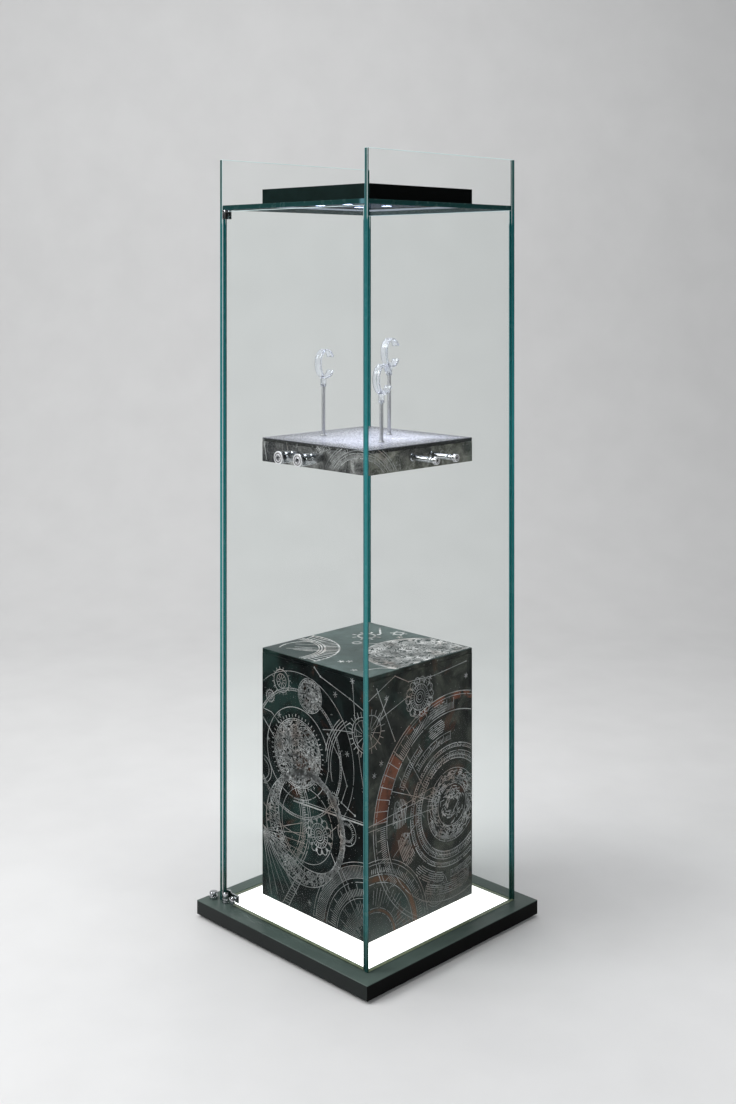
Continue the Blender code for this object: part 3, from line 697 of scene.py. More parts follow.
def glass_work():
    for name, way, aim, seen in (("side_pane_right", 1, "-X", (-1, 1)), ("side_pane_left", -1, "+X", (1,))):
        made = pane(name, 0, seen=seen)
        holes = (tube((way * (OUTER + 0.01), y, FIX_Z), aim, 0.005, 0.03) for y in (-FIX_AT, FIX_AT))
        combine(made, "DIFFERENCE", *holes)
    pane("back_pane", 1, seen=(-1,))
    roof()
    door = pane("door_pane", 1, "door", (-1,))
    front = -0.24
    holes = [tube((x, front, FIX_Z), "+Y", 0.0087, 0.04) for x in (-FIX_AT, FIX_AT)]
    holes.append(tube((KNOB[0], front, KNOB[2]), "+Y", 0.0045, 0.04))
    for low, high in ((0.03, 0.0495), (1.5112, 1.54)):
        holes.append(block((-0.23, front, low), (-0.1942, front + 0.04, high)))
    combine(door, "DIFFERENCE", *holes)


glass_work()


# ---------------------------------------------------------------- turned metal
ROUND_FACED = ("chrome", "bore", "face_painted_bright")  # slots of a piece with a faced end painted bright and grooves painted dark as shade


def paint(made, kind, wanted):
    """Gives a material to the faces whose centre passes a test."""
    for face in made.data.polygons:
        if wanted(face.center):
            face.material_index = kind


def far_from(at, axis):
    """A function that gives the distance of a place from the line through at along an axis."""
    return lambda place: math.hypot(*(place[i] - at[i] for i in range(3) if i != axis))


def shelf_rod(node, at, aim):
    """A rod with a flange against the shelf, a groove near the pane and a thread at each end."""
    span = OUTER - THICK - HALF - 2 * GAP
    thread, shaft, flange, neck = 0.004, 0.006, 0.0082, 0.0054
    shank = [(0, -0.024), (thread, -0.024), (thread, 0), (flange, 0), (flange, 0.003), (shaft, 0.0045)]
    shank += [(shaft, span - 0.01), (neck, span - 0.0094), (neck, span - 0.0086), (shaft, span - 0.008)]
    shank += [(shaft, span), (thread, span), (thread, span + 0.0115), (0, span + 0.0115)]
    turned(node, shank, at, aim)


def rod_cap(node, at, aim):
    """A stepped cap with a ring and a centre painted dark as shade in its faced end, which is painted bright
    as a highlight.
    """
    cap = [(0, 0.004), (0.0043, 0.004), (0.0043, 0), (0.009, 0), (0.009, 0.0026), (0.008, 0.003)]
    cap += [(0.008, 0.0058), (0.0068, 0.007), (0.0058, 0.007), (0.0054, 0.0062), (0.0046, 0.0062)]
    cap += [(0.0042, 0.007), (0.0034, 0.007), (0.003, 0.0056), (0, 0.0056)]
    made = turned(node, cap, at, aim, mats=ROUND_FACED, round_off=0.00025)
    reach = far_from(at, 0)
    # painted highlight on the faced end; painted shade in the centre and the ring groove
    paint(made, 2, lambda place: abs(place.x) > OUTER + 0.006)
    paint(made, 1, lambda place: reach(place) < 0.0031 or 0.0044 < reach(place) < 0.0056)


def lock(number, along):
    """One lock: a barrel with a wide disc outside the door, a nut inside it, and a plug with a key slot."""
    at = (along, -OUTER - GAP, FIX_Z)
    bore, barrel, disc, back = 0.0058, 0.0082, 0.014, 0.0043
    body = [(bore, 0.0052), (barrel, 0.0052), (0.0086, 0.0046), (0.0098, 0.0046), (0.0102, 0.0052)]
    body += [(0.0128, 0.0052), (disc, 0.004), (disc, 0), (barrel, 0), (barrel, -0.0622), (back, -0.0622)]
    body += [(back, -0.015), (bore, -0.015)]
    made = turned(f"lock_body_{number}", body, at, "-Y", "door", ROUND_FACED, round_off=0.00025)
    reach = far_from(at, 1)
    # painted highlight on the disc's face; painted shade round the key hole and in the groove
    paint(made, 2, lambda place: place.y < -OUTER - 0.0045)
    for low, high in ((0, 0.0068), (0.0084, 0.0102)):
        paint(made, 1, lambda place: place.y < -OUTER - 0.004 and low < reach(place) < high)
    nut = [(0.0085, 0), (0.0124, 0), (0.0124, 0.016), (0.0108, 0.017), (0.0108, 0.019), (0.0116, 0.02)]
    nut += [(0.0116, 0.026), (0.0094, 0.047), (0.0085, 0.047)]
    turned(f"lock_nut_{number}", nut, (along, -OUTER + THICK + GAP, FIX_Z), "+Y", "door")
    node = f"lock_plug_{number}"
    plug = [(0, 0), (0.0036, 0), (0.004, 0.0005), (0.0046, 0.0005), (0.005, 0), (0.0055, 0.0004)]
    plug += [(0.0055, 0.0205), (0, 0.0205)]
    at = (along, -OUTER - 0.006, FIX_Z)
    made = turned(node, plug, at, "+Y", node, ("chrome", "bore"), round_off=0.0001)
    low, high = (along - 0.0006, -0.24, FIX_Z - 0.003), (along + 0.0006, -0.224, FIX_Z + 0.003)
    # painted shade: the key slot's walls take slot 1
    combine(made, "DIFFERENCE", block(low, high, 1))


def door_slot(low, high):
    """The space that the door pane takes inside a clamp."""
    return block((PIVOT[0] - 0.02, -0.2253, low), (PIVOT[0] + 0.05, -0.2167, high))


def pivots():
    """A boss with a pin on the plinth and one under the roof, the door's clamp on each, and the knob."""
    x, y = PIVOT
    pin, clamp = 0.0033, 0.0106
    boss = [(0, 0), (0.0103, 0), (0.0103, 0.0045), (0.003, 0.0045), (0.003, 0.0115), (0, 0.0115)]
    turned("pivot_bottom_boss", boss, (x, y, DECK + GAP), "+Z")
    turned("pivot_top_boss", boss, (x, y, ROOF - GAP), "-Z")
    shape = [(pin, 0), (clamp, 0), (clamp, 0.004), (0.0098, 0.0044), (0.0098, 0.0054), (clamp, 0.0058)]
    shape += [(clamp, 0.0172), (0.0098, 0.0186), (0, 0.0186), (0, 0.0075), (pin, 0.0075)]
    made = turned("pivot_bottom_clamp", shape, (x, y, DECK + 0.0051), "+Z", "door")
    combine(made, "UNION", block((x, -0.2167, 0.0415), (x + 0.035, -0.2132, 0.056)))
    screw = tube((KNOB[0], -0.25, KNOB[2]), "+Y", 0.0025, 0.1)
    combine(made, "DIFFERENCE", door_slot(0.0492, 0.08), screw)
    shape = [(pin, 0), (0.01, 0), (0.01, 0.0145), (0, 0.0145), (0, 0.0072), (pin, 0.0072)]
    at = (x, y, ROOF - 2 * GAP - 0.0045)
    made = turned("pivot_top_clamp", shape, at, "-Z", "door", ("chrome", "black"))
    combine(made, "DIFFERENCE", door_slot(1.4, 1.5115))
    # painted reflection: the clamp's right half is painted black, for the dark it mirrors
    paint(made, 1, lambda place: place.x > x + 0.001)
    knob = [(0, -0.0108), (0.002, -0.0108), (0.002, -0.0082), (0.004, -0.0082), (0.004, 0), (0.0085, 0)]
    knob += [(0.0085, 0.003), (0.0072, 0.0052), (0.0045, 0.0064), (0, 0.0068)]
    turned("pivot_knob", knob, KNOB, "-Y", "door", round_off=0.0006)


def button():
    """A low ring on the plinth, with a mushroom head in it."""
    bezel = [(0.0066, 0), (0.0086, 0), (0.0086, 0.004), (0.0094, 0.0046), (0.0094, 0.0062), (0.0084, 0.0068)]
    bezel.append((0.0066, 0.0068))
    turned("button_bezel", bezel, (*BUTTON, DECK + GAP), "+Z", round_off=0.0003)
    head = [(0, 0), (0.0062, 0), (0.0062, 0.0078), (0.0092, 0.0078), (0.0092, 0.0104), (0.008, 0.0122)]
    head += [(0.005, 0.013), (0, 0.0132)]
    turned("push_button", head, (*BUTTON, DECK + 0.0034), "+Z", "push_button", round_off=0.0006)


def fittings():
    """Rods, caps, locks, pivots and button, turned finely on the CAD's own axes and sizes."""
    for side, way, aim in (("right", 1, "+X"), ("left", -1, "-X")):
        for number, along in ((1, -FIX_AT), (2, FIX_AT)):
            shelf_rod(f"rod_{side}_{number}", (way * (HALF + GAP), along, FIX_Z), aim)
            rod_cap(f"cap_{side}_{number}", (way * (OUTER + GAP), along, FIX_Z), aim)
    for number, along in ((1, -FIX_AT), (2, FIX_AT)):
        lock(number, along)
    pivots()
    button()


RING_STEPS = 72
RING_START, RING_TURN = 29, 302  # degrees: where the open ring starts, and how far it goes round
RING_WIDE, RING_TALL, RING_WALL = 0.0215, 0.03175, 0.0038
RING_HALF = 0.0095  # half its breadth
SOCKET = 0.0195  # height of the socket that carries the ring


def open_ring(x, y, low):
    """The C-shaped band itself, round an axis along x."""
    outer, inner = [], []
    for step in range(RING_STEPS + 1):
        turn = math.radians(RING_START + RING_TURN * step / RING_STEPS)
        for line, less in ((outer, 0), (inner, RING_WALL)):
            line.append((math.cos(turn) * (RING_WIDE - less), math.sin(turn) * (RING_TALL - less)))
    middle = low + SOCKET - 0.0018 + RING_TALL
    bm = bmesh.new()
    rims = []
    for across in (-RING_HALF, RING_HALF):
        for line in (outer, inner):
            rims.append([bm.verts.new((x + across, y + 0.004 + out, middle + up)) for out, up in line])
    for one, two in ((0, 1), (2, 3), (0, 2), (1, 3)):
        for i in range(RING_STEPS):
            bm.faces.new((rims[one][i], rims[one][i + 1], rims[two][i + 1], rims[two][i]))
    for end in (0, -1):
        bm.faces.new([rims[k][end] for k in (0, 1, 3, 2)])
    bmesh.ops.recalc_face_normals(bm, faces=bm.faces)
    shared = [edge for edge in bm.edges if len(edge.link_faces) == 2]
    sharp = [edge for edge in shared if edge.calc_face_angle() > math.radians(50)]
    rounding = {"offset": 0.0007, "segments": 3, "profile": 0.5, "clamp_overlap": True}
    bmesh.ops.bevel(bm, geom=sharp, affect="EDGES", **rounding)
    return bm


def stands():
    """Steel stems with flared feet, each with a clear open ring on a socket."""
    for name, (x, y, tall) in STANDS.items():
        at = (x, y, SHELF_TOP + GAP)
        foot = [(0.0043, 0), (0.0068, 0), (0.0068, 0.0012), (0.0058, 0.002), (0.0053, 0.0032)]
        foot.append((0.0043, 0.0032))
        turned(f"collar_{name}", foot, at, "+Z", mats=("steel",))
        stem = [(0, 0), (0.004, 0), (0.004, tall - GAP), (0, tall - GAP)]
        turned(f"stem_{name}", stem, at, "+Z", mats=("steel",), round_off=0.0005)
        low = SHELF_TOP + tall - 0.0055
        node = f"c_ring_{name}"
        ring = piece(f"{node}_clear", open_ring(x, y, low), ("acrylic",), node, 32, [node])
        combine(ring, "UNION", tube((x, y, low), "+Z", 0.0065, SOCKET))
        combine(ring, "DIFFERENCE", tube((x, y, low - 0.01), "+Z", 0.0043, 0.0158))


fittings()
stands()

# ---------------------------------------------------------------- carried-over CAD nodes
FINISH = {
    "lacquer": ["plinth_shell"],
    "opal": ["light_diffuser"],
    "plate": ["plinth_bottom_plate"],
    "coated": ["led_panel"],
    "plastic": ["power_inlet", "lightbox_gland"],
    "black": ["pillar_spacer", "spot_plate"],
    "board": ["pillar_core", "shelf_core"],
    "slate": ["pillar_top", *(f"pillar_slab_{side}" for side in ("front", "right", "rear", "left"))],
    "stone": ["shelf_case"],
    "shelf_face": ["shelf_top"],
    "box_black": ["lightbox_cover"],
    "rubber": [f"foot_{end}_{side}" for end in ("front", "rear") for side in ("left", "right")],
    "steel": ["lock_bolt_1", "lock_bolt_2"],
}
for key, names in FINISH.items():
    for name in names:
        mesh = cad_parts[name].data
        mesh.materials.clear()
        mesh.materials.append(MAT[key])


# ---------------------------------------------------------------- line work
def spot(c, reach, angle):
    """The place at a distance and an angle from c."""
    return Vector(c) + Vector((math.cos(angle), math.sin(angle))) * reach


class Lines:
    """Thin silvered lines laid on a face. A place on it is (u, v) and a line's width is w, all in metres.
    Angles are in degrees, anticlockwise from across."""

    LIFT = 0.00012  # height over the face
    RIM = 0.001  # left free along the face's rims

    def __init__(self, origin, across, up, width, height, seed, weight):
        self.origin, self.across, self.up = Vector(origin), Vector(across), Vector(up)
        self.out = self.across.cross(self.up).normalized()
        self.width, self.height = width, height
        self.bm = bmesh.new()
        self.rng = random.Random(seed)
        self.weight = weight

    def fill(self, places):
        """Adds one small polygon, unless a corner of it runs out of the face."""
        for u, v in places:
            if not (self.RIM < u < self.width - self.RIM and self.RIM < v < self.height - self.RIM):
                return
        base = self.origin + self.out * self.LIFT
        self.bm.faces.new([self.bm.verts.new(base + self.across * u + self.up * v) for u, v in places])

    def line(self, a, b, w=0.0011, pieces=0):
        a, b = Vector(a), Vector(b)
        w *= self.weight
        run = b - a
        if run.length < 1e-5:
            return
        side = Vector((-run.y, run.x)).normalized() * w / 2
        count = pieces or max(1, int(run.length / 0.006))
        for i in range(count):
            p, q = a + run * i / count, a + run * (i + 1) / count
            self.fill((p - side, q - side, q + side, p + side))

    def arc(self, c, r, start=0.0, end=360.0, w=0.0011, gaps=0.0):
        """An arc, of which a share may be left out at random."""
        w *= self.weight
        start, end = math.radians(start), math.radians(end)
        count = max(6, int(r * abs(end - start) / 0.004))
        for i in range(count):
            if gaps and self.rng.random() < gaps:
                continue
            one = start + (end - start) * i / count
            two = start + (end - start) * (i + 1) / count
            low, high = r - w / 2, r + w / 2
            corners = ((low, one), (high, one), (high, two), (low, two))
            self.fill([spot(c, reach, turn) for reach, turn in corners])

    def arcs(self, c, rings, start=0.0, end=360.0, gaps=0.0):
        """Several arcs round one centre, as pairs of a radius and a width."""
        for r, w in rings:
            self.arc(c, r, start, end, w, gaps)

    def ticks(self, c, r0, r1, count, w=0.0008, start=0.0, end=360.0, jitter=0.0):
        for i in range(count):
            angle = math.radians(start + (end - start) * (i + 0.5) / count)
            a = r0 + self.rng.uniform(0, jitter) * (r1 - r0)
            b = r1 - self.rng.uniform(0, jitter) * (r1 - r0)
            self.line(spot(c, a, angle), spot(c, b, angle), w)

    def dot(self, c, r):
        self.fill([spot(c, r, TAU * i / 8) for i in range(8)])

    def lines(self, w, *pairs):
        for a, b in pairs:
            self.line(a, b, w)

    def path(self, points, w=0.001, dots=0.0):
        for a, b in zip(points, points[1:]):
            self.line(a, b, w)
        if dots:
            for p in points:
                self.dot(p, dots)

    def hatch(self, middle, half, count, length=(0.004, 0.011), w=(0.0006, 0.0011), slant=0.0):
        """Dense strokes within a band round a curve. middle(t) gives a point and half(t) its half-width."""
        for _ in range(count):
            t = self.rng.random()
            here, ahead = Vector(middle(t)), Vector(middle(min(1.0, t + 0.01)))
            along = (ahead - here).normalized() if (ahead - here).length > 1e-9 else Vector((1, 0))
            side = Vector((-along.y, along.x))
            off = self.rng.uniform(-1, 1)
            centre = here + side * off * half(t)
            turn = slant + self.rng.gauss(0, 0.45)
            d = along * math.cos(turn) + side * math.sin(turn)
            reach = self.rng.uniform(*length) / 2
            bend = side * self.rng.uniform(-0.3, 0.3) * reach
            self.line(centre - d * reach, centre + bend, self.rng.uniform(*w), 1)
            self.line(centre + bend, centre + d * reach, self.rng.uniform(*w), 1)

    def border(self, middle, half, w=0.0013, steps=90):
        """The two long sides of a band."""
        for way in (-1, 1):
            places = []
            for i in range(steps + 1):
                t = i / steps
                here, ahead = Vector(middle(t)), Vector(middle(t + 0.004))
                along = (ahead - here).normalized()
                places.append(here + Vector((-along.y, along.x)) * way * half(t))
            for a, b in zip(places, places[1:]):
                self.line(a, b, w, 1)

    def rose(self, c, r, petals, w=0.0009):
        """Small rings with a ring of petals round them."""
        for ring in (0.14, 0.25, 0.38, 0.62):
            self.arc(c, r * ring, w=w)
        for i in range(petals):
            angle = TAU * i / petals
            turn = math.degrees(angle)
            self.arc(spot(c, r * 0.82, angle), r * 0.17, turn - 125, turn + 125, w)
        self.ticks(c, r * 0.66, r * 0.92, petals, w * 1.3)
        self.ticks(c, r * 0.42, r * 0.6, petals * 2, w * 0.8)

    def band(self, c, r0, r1, start=0.0, end=360.0, w=0.0012, every=0.0052):
        """A graduated scale between two circles. Every fifth mark is a long one."""
        count = round((r0 + r1) / 2 * math.radians(end - start) / every)
        for i in range(count):
            angle = math.radians(start + (end - start) * (i + 0.5) / count)
            low, high = (r0 + (r1 - r0) * share for share in (0.06, 0.6 if i % 5 else 0.94))
            self.line(spot(c, low, angle), spot(c, high, angle), w, 1)

    def stars(self, r, points, w, *places):
        for c in places:
            for i in range(points):
                self.line(c, spot(c, r, TAU * i / points + 0.3), w, 1)

    def dust(self, count, low=0.0004, high=0.0011):
        rim = 0.004
        for _ in range(count):
            place = (self.rng.uniform(rim, self.width - rim), self.rng.uniform(rim, self.height - rim))
            self.dot(place, self.rng.uniform(low, high))

    def done(self, name, kind="line", slot="slate"):
        piece(name, self.bm, (kind,), "case", 0, ())


def around(c, r, start=0, end=360):
    """A curve that follows an arc, as a function of 0..1."""
    return lambda t: spot(c, r, math.radians(start + (end - start) * t))


def dense_disc(f, c, radius, strokes):
    """A disc of four rings, with short strokes spread evenly over its area and a toothed rim."""
    step, w = radius / 4, (0.001, 0.0018)
    for ring in range(4):
        count = int(strokes * (2 * ring + 1) / 16)
        f.hatch(around(c, step * (ring + 0.5)), lambda t: step * 0.5, count, (0.004, 0.01), w, 0.7)
        f.arc(c, step * (ring + 1), w=w[0] * 1.2, gaps=0.03)
    f.arc(c, radius + 0.004, w=w[0])
    f.ticks(c, radius, radius + 0.004, int(radius * 900), w[0])


def front_discs(f):
    """A great disc with its orbits, a smaller disc, and three little wheels."""
    great = (0.112, 0.33)
    dense_disc(f, great, 0.068, 1000)
    f.ticks(great, 0.074, 0.082, 48, 0.0012, jitter=0.3)
    f.arcs(great, ((0.0955, 0.0011), (0.13, 0.001), (0.1345, 0.001), (0.17, 0.0009)), gaps=0.04)
    f.ticks(great, 0.13, 0.1345, 150)
    dense_disc(f, (0.151, 0.459), 0.032, 270)
    for c, r in (((0.026, 0.433), 0.012), ((0.222, 0.26), 0.015), ((0.062, 0.472), 0.024)):
        f.arcs(c, ((r, 0.0013), (r * 0.62, 0.001)))
        f.ticks(c, r * 0.15, r * 0.55, 10, 0.0009)
        f.ticks(c, r, r * 1.25, 16, 0.001)


def front_ring(f):
    """A ring whose band swells to one side, with a rose, a small scale and a sheaf of arcs beside it."""
    c, scale = (0.142, 0.186), (0.262, 0.205)
    band = around(c, 0.108)

    def swell(t):
        return 0.006 + 0.019 * max(0.0, math.cos(math.radians(360 * t - 222)))

    f.hatch(band, lambda t: swell(t) * 0.85, 980, (0.004, 0.009), (0.0009, 0.0016), 1.2)
    f.border(band, swell, 0.0015, 140)
    f.border(band, lambda t: swell(t) * 0.45, 0.0009, 140)
    f.arc(c, 0.078, w=0.001, gaps=0.04)
    f.rose((0.18, 0.176), 0.04, 12, 0.0013)
    f.arc(scale, 0.026, w=0.0012)
    f.band(scale, 0.014, 0.024, w=0.0011, every=0.004)
    for k in range(4):
        f.arc((0.33, 0.33), 0.116 + 0.006 * k, 120 + 4 * k, 196 - 9 * k, 0.0012)


def front_charts(f):
    """A sun, star charts and single stars."""
    sun = (0.313, 0.4135)
    f.arcs(sun, ((0.036, 0.0012), (0.03, 0.0008)))
    f.ticks(sun, 0.036, 0.047, 26, 0.0011)
    f.ticks(sun, 0.008, 0.03, 12, 0.0009)
    f.path([(0.165, 0.521), (0.183, 0.506), (0.27, 0.4785), (0.313, 0.462)], 0.0011, 0.0022)
    f.path([(0.2775, 0.518), (0.286, 0.43), (0.3, 0.35), (0.312, 0.296)], 0.0009)
    f.path([(0.19, 0.398), (0.235, 0.407), (0.282, 0.413)], 0.0012)
    f.path([(0.002, 0.383), (0.055, 0.334)], 0.0014)
    f.path([(0.002, 0.402), (0.03, 0.399), (0.052, 0.384), (0.078, 0.377), (0.118, 0.376)], 0.0011)
    f.line((0.1, 0.2275), (0.318, 0.234), 0.0024)
    f.line((0.1, 0.233), (0.318, 0.2385), 0.0008)
    large = ((0.2275, 0.478), (0.2775, 0.516), (0.2625, 0.365), (0.055, 0.398), (0.15, 0.028), (0.078, 0.075))
    f.stars(0.0065, 6, 0.001, *large)
    f.stars(0.0045, 4, 0.0008, (0.295, 0.445), (0.24, 0.3), (0.02, 0.34), (0.03, 0.12))


def front_foot(f):
    """Rings round the lower right corner, a path and two lines that rise from them."""
    c = (0.33, -0.009)
    rings = ((0.168, 0.001), (0.161, 0.0009), (0.137, 0.0009), (0.129, 0.001), (0.098, 0.0009))
    f.arcs(c, rings, 92, 178, 0.04)
    f.ticks(c, 0.138, 0.16, 52, 0.0009, 92, 176)
    f.band(c, 0.1, 0.127, 95, 176, 0.0012, 0.005)
    f.ticks(c, 0.03, 0.096, 22, 0.0008, 96, 176, 0.3)
    f.path([(0.205, 0.392), (0.24, 0.352), (0.262, 0.3), (0.246, 0.262), (0.285, 0.246)], 0.0012, 0.0026)
    f.line((0.215, 0.15), (0.3, 0.03), 0.0014)
    f.line((0.232, 0.146), (0.306, 0.044), 0.0008)


def front_wheel(f):
    """A wheel cut by the left rim, its rays, and a ladder that leads down from it."""
    hub, rim = (0.002, 0.19), 0.002
    f.arcs(hub, [(r, 0.001) for r in (0.128, 0.122, 0.152, 0.146)], -52, 42, 0.05)
    f.band(hub, 0.129, 0.145, -50, 40, 0.0009, 0.0034)
    fans = ((0.14, range(-78, 30, 9), 0.135, 0.0009), (0.15, (-26, -34, -47), 0.16, 0.0016))
    for height, turns, reach, w in fans:
        for turn in turns:
            f.line((rim, height), spot((rim, height), reach, math.radians(turn)), w)
    top, bottom = ((0.118, 0.082), (0.132, 0.078)), ((0.066, 0.002), (0.086, 0.002))
    for a, b in zip(top, bottom):
        f.line(a, b, 0.0014)
    for i in range(13):
        a, b = (Vector(high).lerp(Vector(low), i / 13) for high, low in zip(top, bottom))
        f.line(a, b, 0.0008)
    f.arcs((0.0, 0.271), ((0.03, 0.0011), (0.022, 0.0008)), -90, 90)


def front_lines(f):
    for part in (front_discs, front_ring, front_charts, front_foot, front_wheel):
        part(f)
    f.dust(90)


def hub_rings(g, hub):
    """The large rings round the hub near the rear edge, with scales between them."""
    rings = ((0.237, 0.0012), (0.23, 0.0008), (0.1985, 0.0012), (0.128, 0.0014), (0.1205, 0.0009))
    rings += ((0.112, 0.0009), (0.1035, 0.0011), (0.0965, 0.0013), (0.076, 0.0008), (0.044, 0.001))
    g.arcs(hub, rings, gaps=0.05)
    g.band(hub, 0.1215, 0.127, every=0.005)
    g.band(hub, 0.1045, 0.111, every=0.005)
    g.ticks(hub, 0.0972, 0.1028, 120)
    g.band(hub, 0.064, 0.078, 196, 300, 0.001, 0.0034)
    g.band(hub, 0.201, 0.228, 88, 140, 0.0009, 0.0042)
    g.band(hub, 0.201, 0.228, 178, 214, 0.0009, 0.0042)
    g.ticks(hub, 0.199, 0.236, 7, 0.001, 136, 178)


def hub_shading(g, hub):
    """Patches of parallel arcs, two rings of short strokes, short scales and rays round the hub."""
    for start, end, reach, half, rows in (
        (92, 112, 0.214, 0.01, 5),
        (96, 116, 0.176, 0.013, 7),
        (160, 184, 0.162, 0.018, 9),
        (186, 216, 0.152, 0.016, 9),
        (222, 262, 0.15, 0.011, 6),
        (240, 290, 0.172, 0.011, 6),
    ):
        for row in range(rows):
            share = row / (rows - 1)
            inset = 4 - 2.5 * math.sin(math.pi * share)
            g.arc(hub, reach - half + 2 * half * share, start + inset, end - inset, 0.0012, 0.1)
    for reach, count in ((0.059, 320), (0.026, 100)):
        g.hatch(around(hub, reach), lambda t: 0.013, count, (0.006, 0.014), (0.0009, 0.0014))
    for low, high, start, end in ((0.14, 0.156, 91, 138), (0.164, 0.178, 124, 156), (0.139, 0.153, 268, 318)):
        g.arcs(hub, ((low, 0.0009), (high, 0.0009)), start, end, 0.05)
        g.band(hub, low + 0.001, high - 0.001, start, end, 0.0009, 0.0044)
    for turn in range(140, 178, 7):
        angle = math.radians(turn)
        g.line(spot(hub, 0.045, angle), spot(hub, 0.08, angle), 0.0011)


def right_charts(g):
    """A rosette and a sun near the top, star charts, rays and single stars."""
    rose, sun = (0.154, 0.46), (0.006, 0.421)
    g.rose(rose, 0.043, 14)
    g.hatch(around(rose, 0.035), lambda t: 0.006, 110, (0.003, 0.006), (0.0006, 0.0009))
    g.arc(sun, 0.033, w=0.0012)
    g.ticks(sun, 0.033, 0.045, 20, 0.001)
    g.ticks(sun, 0.006, 0.033, 12)
    g.path([(0.002, 0.482), (0.08, 0.5185), (0.12, 0.4985), (0.2, 0.496), (0.3, 0.506)], 0.001, 0.0018)
    g.path([(0.027, 0.503), (0.08, 0.386)], 0.0011, 0.0016)
    g.lines(0.0011, ((0.01, 0.404), (0.062, 0.482)), ((0.03, 0.438), (0.112, 0.466)))
    g.lines(0.001, ((0.002, 0.231), (0.318, 0.26)), ((0.002, 0.221), (0.2, 0.217)))
    g.lines(0.001, ((0.07, 0.286), (0.205, 0.231)))
    g.lines(0.0009, ((0.085, 0.245), (0.19, 0.262)), ((0.092, 0.31), (0.168, 0.206)))
    g.lines(0.0008, ((0.112, 0.352), (0.166, 0.27)))
    g.lines(0.0009, ((0.075, 0.15), (0.15, 0.205)))
    g.stars(0.006, 6, 0.001, (0.055, 0.478), (0.186, 0.494), (0.3, 0.475), (0.02, 0.33), (0.04, 0.35))


def right_foot(g):
    """Rings round the lower left corner and two small wheels."""
    c = (0.01, -0.009)
    rings = [(0.168, 0.001), (0.161, 0.0008), (0.139, 0.001), (0.123, 0.001), (0.074, 0.0009)]
    g.arcs(c, [*rings, (0.065, 0.0008)], 0, 92, 0.06)
    g.band(c, 0.1415, 0.1595, 4, 90, 0.0012, 0.0056)
    g.ticks(c, 0.075, 0.12, 16, 0.0008, 6, 88, 0.5)
    for place, size in (((0.205, 0.045), 0.034), ((0.285, 0.052), 0.024)):
        g.arcs(place, [(size * part, 0.0008) for part in (1.0, 0.86, 0.52, 0.4, 0.18)], gaps=0.08)
        g.ticks(place, size * 0.54, size * 0.84, 24, 0.0007, jitter=0.3)


def right_lines(g):
    hub = (0.2545, 0.211)
    hub_rings(g, hub)
    hub_shading(g, hub)
    right_charts(g)
    right_foot(g)
    g.dust(220, 0.0003, 0.0009)


def plain_lines(k, c, size, rose_at):
    """Rings and rays for the two faces that stand away from the door."""
    rings = [(0.205, 0.0013), (0.197, 0.0009), (0.15, 0.001), (0.112, 0.0013), (0.105, 0.0009)]
    k.arcs(c, [(r * size, w) for r, w in (*rings, (0.05, 0.0012))], gaps=0.04)
    k.band(c, 0.1985 * size, 0.204 * size, w=0.0008)
    k.band(c, 0.106 * size, 0.111 * size, w=0.0008)
    k.ticks(c, 0.115 * size, 0.147 * size, 34, 0.0011, jitter=0.45)
    k.hatch(around(c, 0.075 * size), lambda t: 0.018 * size, 500)
    k.rose(rose_at, 0.048, 14)
    for turn in range(0, 184, 23):
        k.line(c, spot(c, 0.3, math.radians(turn)), 0.0008)
    k.path([(0.02, 0.5), (0.1, 0.47), (0.16, 0.51), (0.29, 0.48)], 0.001, 0.0022)
    k.dust(120)


def top_lines(t):
    """A dial in one corner, a densely hatched disc in the other, and small suns and stars between them."""
    dial, disc = (0.036, 0.025), (0.283, 0.211)
    t.arcs(dial, ((0.1235, 0.0026), (0.0925, 0.003), (0.086, 0.0026), (0.08, 0.002)), -30, 130)
    t.ticks(dial, 0.0935, 0.1215, 20, 0.0024, -16, 106)
    t.arc((0.07, 0.06), 0.056, 110, 215, 0.0024)
    for k in (0.01, 0.026, 0.042):
        t.line((0.018 + k, 0.08 - k), (0.07 + k * 0.7, 0.12 - k * 1.5), 0.0016)
        t.line((0.03 + k, 0.03 + k * 0.3), (0.074 + k, 0.066 + k * 0.3), 0.0018)
    t.arcs(disc, ((0.128, 0.0042), (0.1225, 0.002)))
    for reach, count in ((0.012, 70), (0.032, 180), (0.052, 280), (0.072, 380), (0.092, 480), (0.11, 570)):
        t.hatch(around(disc, reach), lambda s: 0.013, count, (0.006, 0.015), (0.0013, 0.0024), 0.8)
    for c, r, rays in (((0.09, 0.228), 0.019, 8), ((0.126, 0.294), 0.011, 6), ((0.116, 0.172), 0.009, 0)):
        t.arc(c, r, w=0.0034)
        t.ticks(c, r * 1.3, r * 1.8, rays, 0.0032)
    t.lines(0.003, ((0.06, 0.3), (0.1, 0.262)), ((0.14, 0.186), (0.168, 0.212)))
    t.arc((0.33, 0.04), 0.048, 90, 200, 0.0026)
    t.stars(0.0075, 5, 0.0022, (0.198, 0.045), (0.21, 0.058), (0.15, 0.272), (0.262, 0.02))


LEFT, RIGHT = -HALF, HALF  # sides of the pillar and of the shelf, which are square
CORNER = {"front": (LEFT, LEFT), "right": (RIGHT, LEFT), "rear": (RIGHT, RIGHT), "left": (LEFT, RIGHT)}
ALONG = {"front": (1, 0, 0), "right": (0, 1, 0), "rear": (-1, 0, 0), "left": (0, -1, 0)}


def upright_face(side, low, high, seed, weight):
    return Lines((*CORNER[side], low), ALONG[side], (0, 0, 1), 2 * HALF, high - low, seed, weight)


